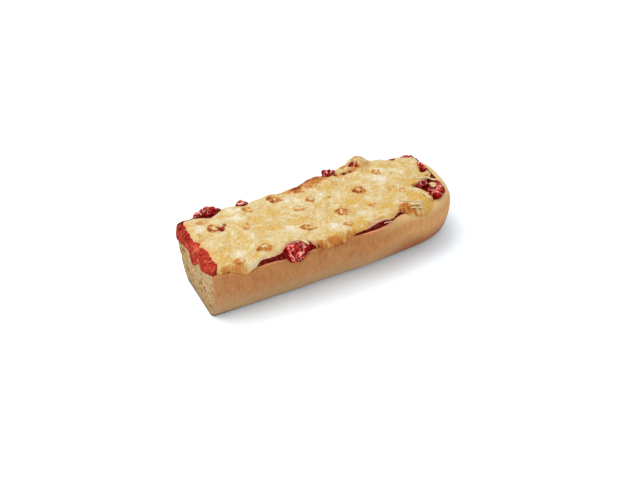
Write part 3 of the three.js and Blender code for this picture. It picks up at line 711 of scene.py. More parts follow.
def blister_marks(points, x, y):
    """Height, brownness and scorch of the blisters: a dome with a sunken middle, smudged brown,
    darkest on its lower left side."""
    height, brown, scorch = np.zeros_like(x), np.zeros_like(x), np.zeros_like(x)
    ripple = 0.30 * noise(points, 3.0, 101, 3)
    grit = noise(points, 1.6, 103, 2)
    for bx, by, high, half_length, half_width, degrees, browned in BLISTERS:
        u, v = turned(x, y, bx, by, degrees)
        u, v = u / half_length, v / half_width
        gap = np.hypot(u, v) + ripple
        outside = np.maximum(gap, 0)
        dome = bell(outside, 1.0, 2 * HUMP_POWER)
        middle = bell(gap, BLISTER_MIDDLE)
        ring = bell(gap - BLISTER_RING, BLISTER_RING_WIDTH)
        smudge = bell(outside, BLISTER_SMUDGE, 3)
        lean = np.clip(0.5 - 0.45 * (u + 0.9 * v), 0, 1)
        height += high * (dome - 0.4 * middle) + 0.35 * grit * dome
        toasted = smudge * (0.42 + 0.8 * grit) + ring * (0.1 + 0.5 * lean) - 0.2 * middle
        brown = np.maximum(brown, browned * toasted)
        burnt = ring * np.clip(lean * 1.2 - 0.4 + 0.9 * grit, 0, 1)
        scorch = np.maximum(scorch, browned**3 * burnt)
    return height, brown, scorch


def sunk_away(points, x, y):
    """How far the cheese has sunk: a flat-bottomed bell over each bare place, its outline pushed
    about by noise."""
    push_x, push_y = noise(points, 2.8, 115, 2), noise(points, 2.8, 117, 2)
    sunk = np.zeros_like(x)
    for bx, by, radius, depth in BARE:
        gap = np.hypot(x - bx + 1.5 * push_x, y - by + 1.5 * push_y)
        sunk = np.maximum(sunk, depth * bell(gap, radius, 3))
    return sunk


def cheese_grid(settings):
    """The melted cheese: an uneven sheet with shred streaks, blisters, sunk places and a rounded,
    ragged rim."""
    rays = all_rays(*CHEESE_RAYS)
    ragged = np.where(rays.on_cut, *CHEESE_RAGGED) * noise(rays.start, 3.6, 81, 3)
    reach = cheese_reach(rays) + ragged
    a = skin_distances(-rays.inward, reach, CHEESE_EDGE, *CHEESE_RINGS)
    base = on_skin(rays, a, 0.0)
    x, y = base[..., 0], base[..., 1]
    blister, blister_brown, scorch = blister_marks(base, x, y)
    broken = 0.7 + 0.75 * noise(base, 2.4, 111, 3)
    streak, cross_streak = fibres(base, 200), fibres(base, 300)
    pale_spots, golden_spots = spots(x, y, PALE), spots(x, y, GOLDEN)
    pale = 0.9 * noise(base, 7.5, 91, 2) + 1.4 * streak + 0.9 * (pale_spots - golden_spots)
    golden = 0.9 * noise(base, 9.0, 93, 2) + 1.4 * cross_streak
    golden = golden + 1.1 * golden_spots - 0.8 * pale_spots
    bubble, number = pits(base, BUBBLE_SIZE, 141)
    bubbles = (1 - smoothstep(bubble, *BUBBLE_RADIUS)) * (number < BUBBLE_SHARE)
    uneven = layered(base, CHEESE_LUMPS) + 0.4 * bubbles
    body = cheese_body(a) + waver(CHEESE_TOP_WAVER, x, y) + features(HUMPS, x, y, HUMP_POWER)
    body = body + blister + settings.shred_height / MM * streak + settings.unevenness / MM * uneven
    body = np.maximum(body * (1 - spots(x, y, THIN)), CHEESE_THINNEST)
    bottom = rest_height(rays, a)
    sunk = sunk_away(base, x, y)
    height = bottom - 0.25 + (body - sunk) * taper(CHEESE_EDGE, reach, a)
    top = on_skin(rays, a, np.maximum(height, np.maximum(bottom - UNDER_CHEESE + 0.2, 0.15)))
    under_a = np.stack([reach, reach - 1.5, reach - 4.0, 0 * reach])
    under_a = -np.sort(-np.minimum(under_a, reach - RIM_TUCK), axis=0)
    under_a = np.concatenate([under_a, -rays.inward[None]])
    under = on_skin(rays, under_a, np.maximum(rest_height(rays, under_a) - UNDER_CHEESE, 0.1))
    bare = bare_sauce(rays, *BLUSH_SHOWS)
    blush = (1 - smoothstep(reach - a, *CHEESE_BLUSH)) * np.where(rays.on_cut, BLUSH_ON_CUT, bare)
    marks = {
        "pale": pale, "golden": golden, "scorch": scorch,
        "brown": np.maximum(blister_brown, spots(x, y, BROWNED) * broken),
        "lip": (1 - smoothstep(reach - a, *CHEESE_LIP)) * (1 - bare),
        "stained": smoothstep(sunk, *SUNK_STAINS), "blush": blush,
    }
    marks = {name: np.concatenate([values, 0 * under_a]) for name, values in marks.items()}
    uv = unrolled(rays, np.concatenate([a, under_a]))
    return closed_grid(np.concatenate([top, under]), marks, uv)


def draped(x, y, grids):
    """Heights of a path laid over grids: the highest point within reach in plan, a line of the
    held slope down from each such height, the highest of those lines, then the mean of five
    neighbours."""
    raw = np.full(len(x), -np.inf)
    for grid in grids:
        px, py, pz = grid.points.T
        box = (px > x.min() - PLAN_REACH) & (px < x.max() + PLAN_REACH)
        box &= (py > y.min() - PLAN_REACH) & (py < y.max() + PLAN_REACH)
        if box.any():
            near = np.hypot(px[box] - x[:, None], py[box] - y[:, None]) < PLAN_REACH
            raw = np.maximum(raw, np.where(near, pz[box], -np.inf).max(axis=1))
    held = (raw - HELD_SLOPE * np.hypot(x[:, None] - x, y[:, None] - y)).max(axis=1)
    return np.convolve(np.pad(held, 2, "edge"), np.full(5, 0.2), "valid")


def strand_grid(path, width, thick, paleness, pinkness, below):
    """A melted strand: an ellipse carried along a smooth draped path, swelling and thinning,
    closed to a point at both ends."""
    t = np.linspace(0, 1, STRAND_RINGS)
    stations = np.linspace(0, 1, len(path))
    x, y = (along(list(zip(stations, values)), t) for values in np.array(path, float).T)
    centre = np.stack([x, y, draped(x, y, below) + 0.2 * thick], -1)
    ahead = np.gradient(centre, axis=0)
    side = np.stack([-ahead[:, 1], ahead[:, 0], 0 * t], -1)
    side /= np.linalg.norm(side, axis=-1, keepdims=True)
    swell = (1 - (2 * t - 1) ** 4).clip(0) ** 0.5 * (1 + 0.35 * noise(centre, 2.5, 131, 2))
    turn = np.linspace(0, 2 * math.pi, STRAND_SIDES + 1)
    turn[-1] = 0.0
    out = (swell[:, None] * width / 2 * np.cos(turn))[..., None] * side[:, None]
    up = (swell[:, None] * thick / 2 * np.sin(turn))[..., None] * np.array([0.0, 0.0, 1.0])
    points = centre[:, None] + out + up
    points = points + 0.22 * (noise(points, 1.3, 133, 2) * swell[:, None])[..., None]
    values = {"pale": paleness, "golden": -0.5, "brown": 0, "scorch": 0, "lip": 0, "stained": 0}
    values["blush"] = pinkness
    marks = {name: np.full(points.shape[:2], float(value)) for name, value in values.items()}
    return closed_grid(points, marks)


# ----------------------------------------------------------------------- soft tomato
def tomato_grid(number, sizes, settings):
    """One soft tomato piece: a folded mound over a lobed outline that lies along the loaf's edge.
    It may slope towards one end, and its colour may be deeper than the others'."""
    px, py, length, width, high = sizes
    tried = np.arange(0, 4, 0.005)
    tx, ty = outline(tried, BREAD_TOP, EDGE_RADIUS)
    s0 = tried[np.argmin(np.hypot(tx - px, ty - py))]
    centre = rays_at(s0)
    a0 = (px - centre.x) * centre.out_x + (py - centre.y) * centre.out_y
    step = SPREAD[int(s0)]
    (xb, yb), (xf, yf) = (outline((s0 + k * step) % 4, BREAD_TOP, EDGE_RADIUS) for k in (-1, 1))
    per_mm = 2 * step / np.hypot(xf - xb, yf - yb)

    turn = np.linspace(0, 2 * math.pi, TOMATO_SIDES + 1)
    turn[-1] = 0.0
    lobes = 1 + 0.09 * np.sin(3 * turn + number) + 0.07 * np.sin(5 * turn + 2.1 * number)
    lobes = lobes + 0.03 * np.sin(9 * turn + number)
    narrowed = 1 - 0.35 * np.maximum(np.sin(turn), 0)

    def spread(share):
        """Rays and distances of the points at a share of the way out to the outline."""
        radius = 0.5 * share * lobes
        s = s0 + length * radius * narrowed * np.cos(turn) * per_mm
        return rays_at(s % 4), a0 + width * radius * np.sin(turn)

    share = np.sin(np.linspace(0, math.pi / 2, TOMATO_RINGS))[:, None]
    rays, a = spread(share)
    flat = on_skin(rays, a, 0.0)
    fold = 1 - np.abs(noise(flat * (1, 1, 0.6), 2.8, 121 + number, 2)) * 2.4
    dome = np.broadcast_to(np.sqrt(np.clip(1 - share**2.4, 0, 1)), fold.shape)
    lumps = 1 + 0.22 * share * np.sin(2 * turn + 1.3 * number)
    lumps = lumps + 0.12 * share * np.cos(3 * turn + number)
    lean = 1 - TOMATO_LEANS.get(number, 0.0) * share * np.cos(turn)
    bulk = high * (0.22 + 0.86 * dome * lumps) * taper(0.22, 1.0, share) * lean
    folds = settings.fold_height / MM * fold * dome
    top = on_skin(rays, a, 2 * LAYER_GAP + sauce_body(a) - TOMATO_SUNK + bulk + folds)
    under = on_skin(*spread(np.array([[1.0], [0.0]])), TOMATO_UNDERSIDE)
    points = np.concatenate([top, under])
    marks = {"fold": fold * dome, "mound": dome}
    marks = {name: np.pad(values, ((0, 2), (0, 0))) for name, values in marks.items()}
    marks["shade"] = np.full(points.shape[:2], TOMATO_SHADES.get(number, 0.0))
    return closed_grid(points, marks)


# ======================================================================= node helpers
class Nodes:
    """Short ways to add to a node tree. A source is a node's output, or a plain value."""

    def __init__(self, tree):
        self.tree = tree

    def put(self, kind, inputs=None, **settings):
        """Adds one node, with its settings and a source for each socket that is named."""
        node = self.tree.nodes.new(kind)
        for name, value in settings.items():
            setattr(node, name, value)
        for name, source in (inputs or {}).items():
            socket = node.inputs[name]
            if isinstance(source, bpy.types.NodeSocket):
                self.tree.links.new(source, socket)
            else:
                socket.default_value = (*source[:3], 1.0) if socket.type == "RGBA" else source
        return node

    def maths(self, operation, *sources, clamp=False):
        """One arithmetic node."""
        inputs = dict(enumerate(sources))
        return self.put("ShaderNodeMath", inputs, operation=operation, use_clamp=clamp).outputs[0]

    def times(self, first, second):
        """Product of two sources."""
        return self.maths("MULTIPLY", first, second)

    def less(self, first, second):
        """The first source minus the second."""
        return self.maths("SUBTRACT", first, second)

    def ranged(self, source, start, end=(0.0, 1.0)):
        """A source carried smoothly from one range to another."""
        inputs = {"Value": source, "From Min": start[0], "From Max": start[1]}
        inputs |= {"To Min": end[0], "To Max": end[1]}
        node = self.put("ShaderNodeMapRange", inputs, interpolation_type="SMOOTHSTEP")
        return node.outputs["Result"]

    def coated(self, colour, *coats):
        """A colour with coats over it, each a mask, a colour and how it blends if not plainly."""
        for mask, coat, *blend in coats:
            settings = {"data_type": "RGBA", "blend_type": blend[0] if blend else "MIX"}
            colour = self.put("ShaderNodeMix", {0: mask, 6: colour, 7: coat}, **settings).outputs[2]
        return colour

    def mark(self, name):
        """The value of one of the mesh's own marks."""
        return self.put("ShaderNodeAttribute", attribute_name=name).outputs["Fac"]

    def stretched(self, place, scale):
        """A place times a scale along each axis."""
        return self.put("ShaderNodeMapping", {"Vector": place, "Scale": scale}).outputs["Vector"]

    def noise(self, place, scale, detail, roughness=0.5, distortion=0.0):
        """Noise from 0 to 1."""
        inputs = {"Vector": place, "Scale": scale, "Detail": detail}
        inputs |= {"Roughness": roughness, "Distortion": distortion}
        return self.put("ShaderNodeTexNoise", inputs).outputs["Fac"]


def crumbly_grain(nodes, given):
    """Group: grain of two sizes. Height is 0.65 of the coarse noise and 0.35 of the fine, Fleck
    is the fine noise's peaks."""
    coarse, fine = (nodes.noise(given["Vector"], given[k], 3.0, 0.6) for k in ("Coarse", "Fine"))
    height = nodes.maths("ADD", nodes.times(coarse, 0.65), nodes.times(fine, 0.35))
    return {"Height": height, "Fleck": nodes.ranged(fine, (0.56, 0.72))}


def wet_curls(nodes, given):
    """Group: thin light curls, where distorted noise crosses its middle: 1 - distance from 0.5
    over Thickness, kept above 0."""
    value = nodes.noise(given["Vector"], given["Scale"], 2.0, 0.5, 1.4)
    away = nodes.maths("ABSOLUTE", nodes.less(value, 0.5))
    share = nodes.maths("DIVIDE", away, given["Thickness"])
    return {"Mask": nodes.maths("SUBTRACT", 1.0, share, clamp=True)}


def two_tone(nodes, given):
    """Group: soft patches of two colours, mixed by noise sharpened round its middle."""
    value = nodes.noise(given["Vector"], given["Scale"], 4.0, 0.55, 0.3)
    low, high = (nodes.maths(way, 0.5, given["Softness"]) for way in ("SUBTRACT", "ADD"))
    mask = nodes.ranged(value, (low, high))
    return {"Color": nodes.coated(given["First"], (mask, given["Second"]))}


GREY, PALE_GREY = (0.5, 0.5, 0.5, 1), (0.8, 0.8, 0.8, 1)
EFFECTS = {  # the shared effects' inputs and their defaults
    crumbly_grain: {"Vector": None, "Coarse": 400.0, "Fine": 1100.0},
    wet_curls: {"Vector": None, "Scale": 400.0, "Thickness": 0.05},
    two_tone: {
        "Vector": None, "Scale": 120.0, "Softness": 0.12, "First": GREY, "Second": PALE_GREY,
    },
}


def effect_group(effect):
    """The node group of a shared effect, built when it is first asked for. An input is a vector
    where its default is None, a colour where that is four numbers, and a number otherwise."""
    if effect.__name__ in bpy.data.node_groups:
        return bpy.data.node_groups[effect.__name__]
    group = bpy.data.node_groups.new(effect.__name__, "ShaderNodeTree")
    for name, default in EFFECTS[effect].items():
        kind = "Vector" if default is None else "Color" if isinstance(default, tuple) else "Float"
        socket = group.interface.new_socket(name, in_out="INPUT", socket_type=f"NodeSocket{kind}")
        if default is not None:
            socket.default_value = default
    made = effect(Nodes(group), group.nodes.new("NodeGroupInput").outputs)
    for name, source in made.items():
        kind = "Color" if source.type == "RGBA" else "Float"
        group.interface.new_socket(name, in_out="OUTPUT", socket_type=f"NodeSocket{kind}")
    end = group.nodes.new("NodeGroupOutput")
    for name, source in made.items():
        group.links.new(source, end.inputs[name])
    return group


class Finish(Nodes):
    """A material being made: its tree, and its Principled shader with constant sockets set."""

    def __init__(self, name, **constants):
        self.material = bpy.data.materials.new(name)
        self.material.use_nodes = True
        super().__init__(self.material.node_tree)
        self.shader = self.tree.nodes["Principled BSDF"]
        for socket, value in constants.items():
            self.shader.inputs[socket.replace("_", " ")].default_value = value
        self.place = self.put("ShaderNodeTexCoord").outputs["Object"]

    def effect(self, effect, place=None, **inputs):
        """Outputs of a shared effect, on Object coordinates unless another place is given."""
        inputs["Vector"] = self.place if place is None else place
        return self.put("ShaderNodeGroup", inputs, node_tree=effect_group(effect)).outputs

    def dressed(self, bump, **sources):
        """The material, with sources fed to its shader's sockets and a bump of height, strength
        and depth in metres."""
        if bump:
            inputs = dict(zip(("Height", "Strength", "Distance"), bump))
            sources["Normal"] = self.put("ShaderNodeBump", inputs).outputs["Normal"]
        for socket, source in sources.items():
            self.tree.links.new(source, self.shader.inputs[socket.replace("_", " ")])
        return self.material


# --------------------------------------------------------------------------- finishes
def bread_material(settings):
    """Baked crust that is darker under its upper rim, with streaks and flour, a dark bottom band
    that is partly its baked edge and partly painted contact shadow, and a pale rim on the round end
    that is partly its cut edge and partly painted light from above; pale open crumb on the cut
    faces, with painted shade inside its pores."""
    nodes = Finish(
        "baked_bread", Specular_IOR_Level=0.3, Subsurface_Weight=0.06,
        Subsurface_Radius=(0.003, 0.0015, 0.0008),
    )
    height = nodes.put("ShaderNodeSeparateXYZ", {"Vector": nodes.place}).outputs["Z"]
    map_down = nodes.put("ShaderNodeUVMap", uv_map="round_and_down").outputs["UV"]
    streak = nodes.noise(nodes.stretched(map_down, (210, 60, 1)), 1.0, 5.0, 0.65, 1.2)
    fine = nodes.noise(nodes.stretched(map_down, (900, 170, 1)), 1.0, 3.0, 0.6, 0.8)
    patches = nodes.effect(
        two_tone, Scale=70.0, Softness=0.2, First=settings.crust_warm, Second=settings.crust_dark
    )
    grain = nodes.effect(crumbly_grain, Coarse=350.0, Fine=1400.0)
    round_end = nodes.mark("round_end")
    warm = nodes.ranged(height, (0.008, 0.030))
    warm = nodes.times(warm, nodes.ranged(streak, (0.3, 0.7), (0.65, 1.0)))
    low = nodes.coated(settings.crust_light, (round_end, settings.toasted_colour))
    high = nodes.coated(patches["Color"], (round_end, settings.end_colour))
    base = nodes.ranged(height, (0.0008, 0.0048), (1.0, 0.0))
    hollows = nodes.ranged(grain["Height"], (0.5, 0.36), (0.0, 0.35))
    under_rim = nodes.ranged(height, (0.034, 0.0405), (0.0, 0.85))
    crust = nodes.coated(
        low,
        (warm, high),
        (nodes.ranged(streak, (0.5, 0.78), (0.0, 0.4)), settings.streak_colour),
        (nodes.ranged(fine, (0.5, 0.72), (0.0, 0.34)), settings.streak_colour),
        (nodes.ranged(fine, (0.5, 0.28), (0.0, 0.26)), settings.flour_colour),
        # Dark band along the bottom of the wall: partly the baked edge of the bottom, partly
        # painted contact shadow.
        (nodes.times(base, 0.95), settings.base_and_contact_shade_colour),
        (nodes.times(grain["Fleck"], 0.32), settings.flour_colour),
        (hollows, settings.hollow_colour, "MULTIPLY"),
        # Pale rim high on the round end: partly the crust's cut edge, partly painted light from
        # above.
        (nodes.times(round_end, under_rim), settings.pale_and_lit_rim_colour),
    )
    crumbs = nodes.effect(
        two_tone, Scale=260.0, Softness=0.22, First=settings.crumb_colour,
        Second=settings.crumb_shade,
    )
    walls = nodes.effect(wet_curls, Scale=330.0, Thickness=0.06)["Mask"]
    crumb = nodes.coated(
        crumbs["Color"],
        # Painted shade inside the crumb pores, darker than the crumb around them.
        (nodes.times(nodes.mark("pore"), 0.85), settings.pore_shade_colour),
        (nodes.times(walls, 0.5), settings.cell_colour),
        (nodes.ranged(height, (0.004, 0.022), (0.55, 0.0)), settings.crumb_shade),
        # Split face at the round end in the same pale rim colour: partly its cut edge, partly
        # painted light from above.
        (nodes.times(round_end, nodes.mark("split_face")), settings.pale_and_lit_rim_colour),
    )
    colour = nodes.coated(
        crust,
        (nodes.mark("crumb"), crumb),
        (nodes.times(nodes.mark("stained"), 0.9), settings.stain_colour),
    )
    return nodes.dressed(
        (grain["Height"], 0.5, 0.0006), Base_Color=colour,
        Roughness=nodes.ranged(grain["Height"], (0.3, 0.7), (0.55, 0.8)),
    )


def sauce_material(settings):
    """Cooked sauce: deep red, brighter on its pulp, darker where it is thin and has dried, with
    painted shade in the slits under the cheese and painted glints as pale curls.
    """
    nodes = Finish(
        "tomato_sauce", Specular_IOR_Level=0.0, Subsurface_Weight=0.05, Coat_Roughness=0.15,
        Subsurface_Radius=(0.003, 0.0006, 0.0004),
    )
    tone = nodes.effect(
        two_tone, Scale=130.0, Softness=0.12, First=settings.deep_and_shade_colour,
        Second=settings.bright_colour,
    )
    grain = nodes.effect(crumbly_grain, Coarse=700.0, Fine=1900.0)
    # Painted glints: thin pale curls over the sauce stand for wet highlights.
    curls = nodes.effect(wet_curls, Scale=190.0, Thickness=0.035)["Mask"]
    on_cut = nodes.mark("on_cut")
    # Painted shade: the sauce off the cut end lies in slits under the cheese and is painted nearly
    # black-red.
    slit_shade = nodes.less(1.0, on_cut)
    # Thin or dried sauce goes deep red; off the cut end it goes fully so, which adds painted shade
    # in the slits.
    thin = nodes.times(nodes.mark("thin"), nodes.less(1.0, nodes.times(on_cut, 0.6)))
    glint_curl_share, fleck_share = (
        nodes.ranged(slit_shade, (0.0, 1.0), (0.35, least)) for least in (0.14, 0.06)
    )
    colour = nodes.coated(
        tone["Color"],
        (nodes.times(nodes.ranged(nodes.mark("pulp"), (0.12, 0.5)), 0.75), settings.pulp_colour),
        (thin, settings.deep_and_shade_colour),
        # Painted shade of the sauce in the slits under the cheese.
        (nodes.times(slit_shade, 0.92), settings.slit_shade_colour),
        # Painted glints: pale curls in the fleck colour.
        (nodes.times(curls, glint_curl_share), settings.fleck_and_glint_colour),
        (nodes.times(grain["Fleck"], fleck_share), settings.fleck_and_glint_colour),
    )
    return nodes.dressed(
        (grain["Height"], 0.5, 0.0005), Base_Color=colour,
        Roughness=nodes.ranged(grain["Height"], (0.3, 0.7), (0.28, 0.5)),
        Coat_Weight=nodes.ranged(grain["Height"], (0.56, 0.64), (0.0, 0.7)),
    )


def cheese_material(settings):
    """Melted cheese: pale shreds in butter-yellow and golden oil, brown to scorched where it has
    blistered."""
    nodes = Finish(
        "melted_cheese", Specular_IOR_Level=0.2, Subsurface_Weight=0.1, Coat_Roughness=0.2,
        Subsurface_Radius=(0.003, 0.002, 0.001),
    )
    place = nodes.place
    grain = nodes.effect(crumbly_grain, Coarse=620.0, Fine=1500.0)
    speck = nodes.noise(place, 560.0, 3.0, 0.7)
    fine = nodes.noise(nodes.stretched(place, (0.62, 1.0, 1.0)), 820.0, 3.0, 0.6, 1.0)
    roughened = nodes.ranged(nodes.noise(place, 130.0, 1.0), (0.4, 0.6), (0.3, 1.0))
    creases = nodes.effect(wet_curls, Scale=170.0, Thickness=0.022)["Mask"]
    # Painted sheen: thin glossy lines, painted in the palest shred colour.
    painted_sheen_lines = nodes.effect(
        wet_curls, nodes.stretched(place, (1.0, 1.25, 1.0)), Scale=240.0, Thickness=0.03
    )["Mask"]
    jitter = nodes.times(nodes.less(speck, 0.5), 1.2)
    pale = nodes.maths("ADD", nodes.mark("pale"), jitter)
    golden = nodes.less(nodes.mark("golden"), jitter)
    brown = nodes.less(nodes.mark("brown"), nodes.times(jitter, 0.45))
    stained, scorch = nodes.mark("stained"), nodes.mark("scorch")
    hollows = nodes.times(roughened, nodes.ranged(fine, (0.5, 0.3), (0.0, 0.7)))
    glints = nodes.times(roughened, nodes.ranged(fine, (0.56, 0.72), (0.0, 0.65)))
    lip = nodes.times(nodes.mark("lip"), nodes.ranged(speck, (0.35, 0.6), (0.15, 0.75)))
    colour = nodes.coated(
        settings.yellow_colour,
        (nodes.ranged(golden, (0.0, 0.9)), settings.oil_colour),
        (nodes.ranged(pale, (-0.5, 0.3), (0.0, 0.85)), settings.cream_colour),
        (nodes.ranged(pale, (0.3, 1.1)), settings.shred_and_sheen_colour),
        (nodes.times(creases, 0.4), settings.golden_colour),
        # Painted sheen lines in the shred colour.
        (nodes.times(painted_sheen_lines, 0.45), settings.shred_and_sheen_colour),
        (hollows, settings.hollow_colour, "MULTIPLY"),
        (glints, settings.glint_colour),
        (lip, settings.lip_colour),
        (nodes.ranged(brown, (0.06, 0.4)), settings.golden_colour),
        (nodes.ranged(brown, (0.34, 0.8)), settings.brown_colour),
        (nodes.ranged(scorch, (0.1, 0.55)), settings.scorch_colour),
        (nodes.times(nodes.mark("blush"), 0.75), settings.blush_colour),
        (stained, settings.stain_colour),
    )
    dry = nodes.less(1.0, nodes.maths("MAXIMUM", stained, scorch))
    return nodes.dressed(
        (grain["Height"], 0.8, 0.0013), Base_Color=colour,
        Roughness=nodes.ranged(grain["Height"], (0.3, 0.7), (0.25, 0.5)),
        Coat_Weight=nodes.times(nodes.ranged(speck, (0.55, 0.66), (0.0, 0.8)), dry),
    )


def tomato_material(settings):
    """Soft tomato: wet red, pink and shiny on its folds, with painted light and painted highlight
    curls on their ridges, and nearly black-red in their creases as painted shade.
    """
    nodes = Finish(
        "soft_tomato", Specular_IOR_Level=0.0, Subsurface_Weight=0.05, Coat_Roughness=0.1,
        Subsurface_Radius=(0.003, 0.0006, 0.0005),
    )
    tone = nodes.effect(
        two_tone, Scale=330.0, Softness=0.14, First=settings.deep_and_shade_colour,
        Second=settings.flesh_colour,
    )
    grain = nodes.effect(crumbly_grain, Coarse=600.0, Fine=1700.0)
    curls = nodes.effect(wet_curls, Scale=165.0, Thickness=0.05)["Mask"]
    fold = nodes.mark("fold")
    standing = nodes.ranged(nodes.mark("mound"), (0.35, 0.75))
    curls = nodes.times(nodes.times(curls, standing), nodes.ranged(fold, (-0.2, 0.4), (0.25, 1.0)))
    # Painted shade: the tomato goes nearly black-red in the creases between its folds.
    painted_crease_shade = nodes.ranged(fold, (-0.1, 0.45), (1.0, 0.0))
    colour = nodes.coated(
        tone["Color"],
        # Pink on the fold ridges: partly the pink flesh, partly painted light on the ridges.
        (nodes.times(nodes.ranged(fold, (0.45, 0.95)), 0.5), settings.pink_and_lit_fold_colour),
        (nodes.times(painted_crease_shade, 0.8), settings.deep_and_shade_colour),
        (nodes.mark("shade"), settings.deep_and_shade_colour),
        # Painted highlights: light wet curls on the standing folds.
        (curls, settings.curl_highlight_colour),
    )
    wet = nodes.ranged(grain["Height"], (0.55, 0.62))
    return nodes.dressed(
        (grain["Height"], 0.45, 0.0005), Base_Color=colour,
        Roughness=nodes.ranged(grain["Height"], (0.3, 0.7), (0.18, 0.38)),
        Coat_Weight=nodes.times(standing, wet),
    )


def floor_material(settings):
    """Plain pale paper that glows a little, in two tints a hundredth apart."""
    nodes = Finish("floor_paper", Specular_IOR_Level=0.1, Roughness=0.9, Emission_Strength=0.12)
    lighter = [min(1, c * 1.01) for c in settings.floor_colour]
    tint = nodes.effect(
        two_tone, Scale=3.0, Softness=0.4, First=settings.floor_colour, Second=lighter
    )["Color"]
    return nodes.dressed(None, Base_Color=tint, Emission_Color=tint)


# =========================================================================== settings
def linear(value):
    """A linear colour value from one of 0-255 on the screen."""
    value /= 255
    return value / 12.92 if value <= 0.04045 else ((value + 0.055) / 1.055) ** 2.4


def colour(name, description, *screen, plain=None):
    """A colour that the sidebar shows, from its screen values or from plain linear ones."""
    return FloatVectorProperty(
        name=name, description=description, subtype="COLOR", size=3, min=0, max=1,
        default=plain or [linear(value) for value in screen],
    )


def length(name, description, default):
    """A length in metres that the sidebar shows."""
    return FloatProperty(
        name=name, description=description, default=default, min=0, unit="LENGTH",
        subtype="DISTANCE", precision=5,
    )


class BreadSettings(bpy.types.PropertyGroup):
    crust_unevenness: length("Crust unevenness", "Height of the crust's slow lumps", 0.0006)
    pore_depth: length("Pore depth", "Depth of the deepest crumb pores", 0.0013)
    crust_light: colour("Light crust", "Crust low on the wall", 176, 136, 90)
    crust_warm: colour("Warm crust", "Lighter patches high on the wall", 184, 117, 57)
    crust_dark: colour("Dark crust", "Darker patches high on the wall", 170, 99, 43)
    toasted_colour: colour("Toasted crust", "Crust low on the round end", 146, 76, 30)
    end_colour: colour("End crust", "Crust high on the round end", 212, 156, 92)
    streak_colour: colour("Streaks", "Browner streaks down the wall", 146, 88, 42)
    # Baked edge of the bottom, and also the painted contact shadow along the base.
    base_and_contact_shade_colour: colour("Base", "Baked edge of the bottom", 70, 44, 24)
    flour_colour: colour("Flour", "Pale flecks on the crust", 208, 162, 110)
    hollow_colour: colour("Hollows", "Shade of the crust's small hollows", 196, 192, 186)
    stain_colour: colour("Stain", "Crust that the sauce has stained", 236, 146, 116)
    crumb_colour: colour("Crumb", "Cut crumb", 186, 150, 94)
    crumb_shade: colour("Shaded crumb", "Darker crumb", 152, 112, 62)
    cell_colour: colour("Cell walls", "Pale walls between the pores", 224, 198, 148)
    # Painted shade inside the crumb's pores.
    pore_shade_colour: colour("Pore", "Inside of a pore", 104, 70, 32)
    # Pale rim of the round end: partly its cut edge, partly painted light from above.
    pale_and_lit_rim_colour: colour("Rim", "Pale rim of the round end", 216, 184, 128)


class SauceSettings(bpy.types.PropertyGroup):
    pulp_height: length("Pulp height", "How far the pulp stands out", 0.0009)
    # Thin or dried sauce, and also the painted shade of the thin sauce in the slits.
    deep_and_shade_colour: colour("Deep red", "Thin or dried sauce", 122, 14, 10)
    bright_colour: colour("Bright red", "Thick sauce", 166, 44, 28)
    pulp_colour: colour("Pulp", "Raised pulp", 214, 112, 84)
    # Pale flecks in the sauce, and also its painted glint curls.
    fleck_and_glint_colour: colour("Flecks", "Small pale flecks", 226, 124, 98)
    # Painted shade of the sauce in the slits under the cheese.
    slit_shade_colour: colour("Sheltered", "Sauce in the slits under the cheese", 78, 0, 2)


class CheeseSettings(bpy.types.PropertyGroup):
    shred_height: length("Shred height", "How far a shred stands out", 0.0005)
    unevenness: length("Unevenness", "Height of the cheese's small lumps", 0.001)
    yellow_colour: colour("Yellow", "Butter-yellow cheese", 202, 168, 95)
    oil_colour: colour("Oil", "Golden oily patches", 203, 159, 56)
    cream_colour: colour("Cream", "Cream patches", 210, 190, 139)
    # Palest shreds, and also the painted sheen lines on the cheese.
    shred_and_sheen_colour: colour("Shred", "Palest shreds", 220, 211, 184)
    hollow_colour: colour("Hollows", "Shade of the cheese's small hollows", 212, 206, 196)
    glint_colour: colour("Glints", "Oil glints on the small bumps", 246, 238, 212)
    lip_colour: colour("Lips", "Golden edge that hangs over the crust", 220, 168, 70)
    golden_colour: colour("Golden", "Lightly browned cheese", 190, 122, 46)
    brown_colour: colour("Brown", "Browned blisters", 156, 82, 22)
    scorch_colour: colour("Scorched", "Darkest rims of the blisters", 126, 56, 6)
    stain_colour: colour("Stained", "Cheese that has sunk into the sauce", 150, 24, 14)
    blush_colour: colour("Blush", "Edge that has taken the sauce's red", 236, 178, 150)


class TomatoSettings(bpy.types.PropertyGroup):
    fold_height: length("Fold height", "Height of the folds in the tomato", 0.0013)
    # Deep red of the tomato, and also the painted shade in its creases.
    deep_and_shade_colour: colour("Deep red", "Creases of the tomato", 104, 1, 4)
    flesh_colour: colour("Flesh", "Tomato flesh", 174, 24, 20)
    # Pink of the thin folds, and also painted light on their ridges.
    pink_and_lit_fold_colour: colour("Fold", "Pink, thin folds", 232, 92, 82)
    # Painted highlights: light wet curls on the tomato.
    curl_highlight_colour: colour("Curls", "Light wet curls", 255, 184, 166)


class StageSettings(bpy.types.PropertyGroup):
    floor_size: length("Floor size", "Side of the square floor", 6.0)
    floor_colour: colour("Floor", "Plain pale floor", plain=(0.88, 0.95, 1.0))
    sky_strength: FloatProperty(
        name="Sky", description="Strength of the even light all round", default=0.82, min=0
    )
    key_power: FloatProperty(
        name="Key light", description="Power of the large soft lamp", default=13.0, min=0,
        unit="POWER",
    )
    lens: FloatProperty(
        name="Lens", description="Focal length", default=CAMERA_LENS, min=10, unit="CAMERA"
    )


SETTINGS = {
    "pizza_bread": BreadSettings, "pizza_sauce": SauceSettings, "pizza_tomato": TomatoSettings,
    "pizza_cheese": CheeseSettings, "pizza_stage": StageSettings,
}


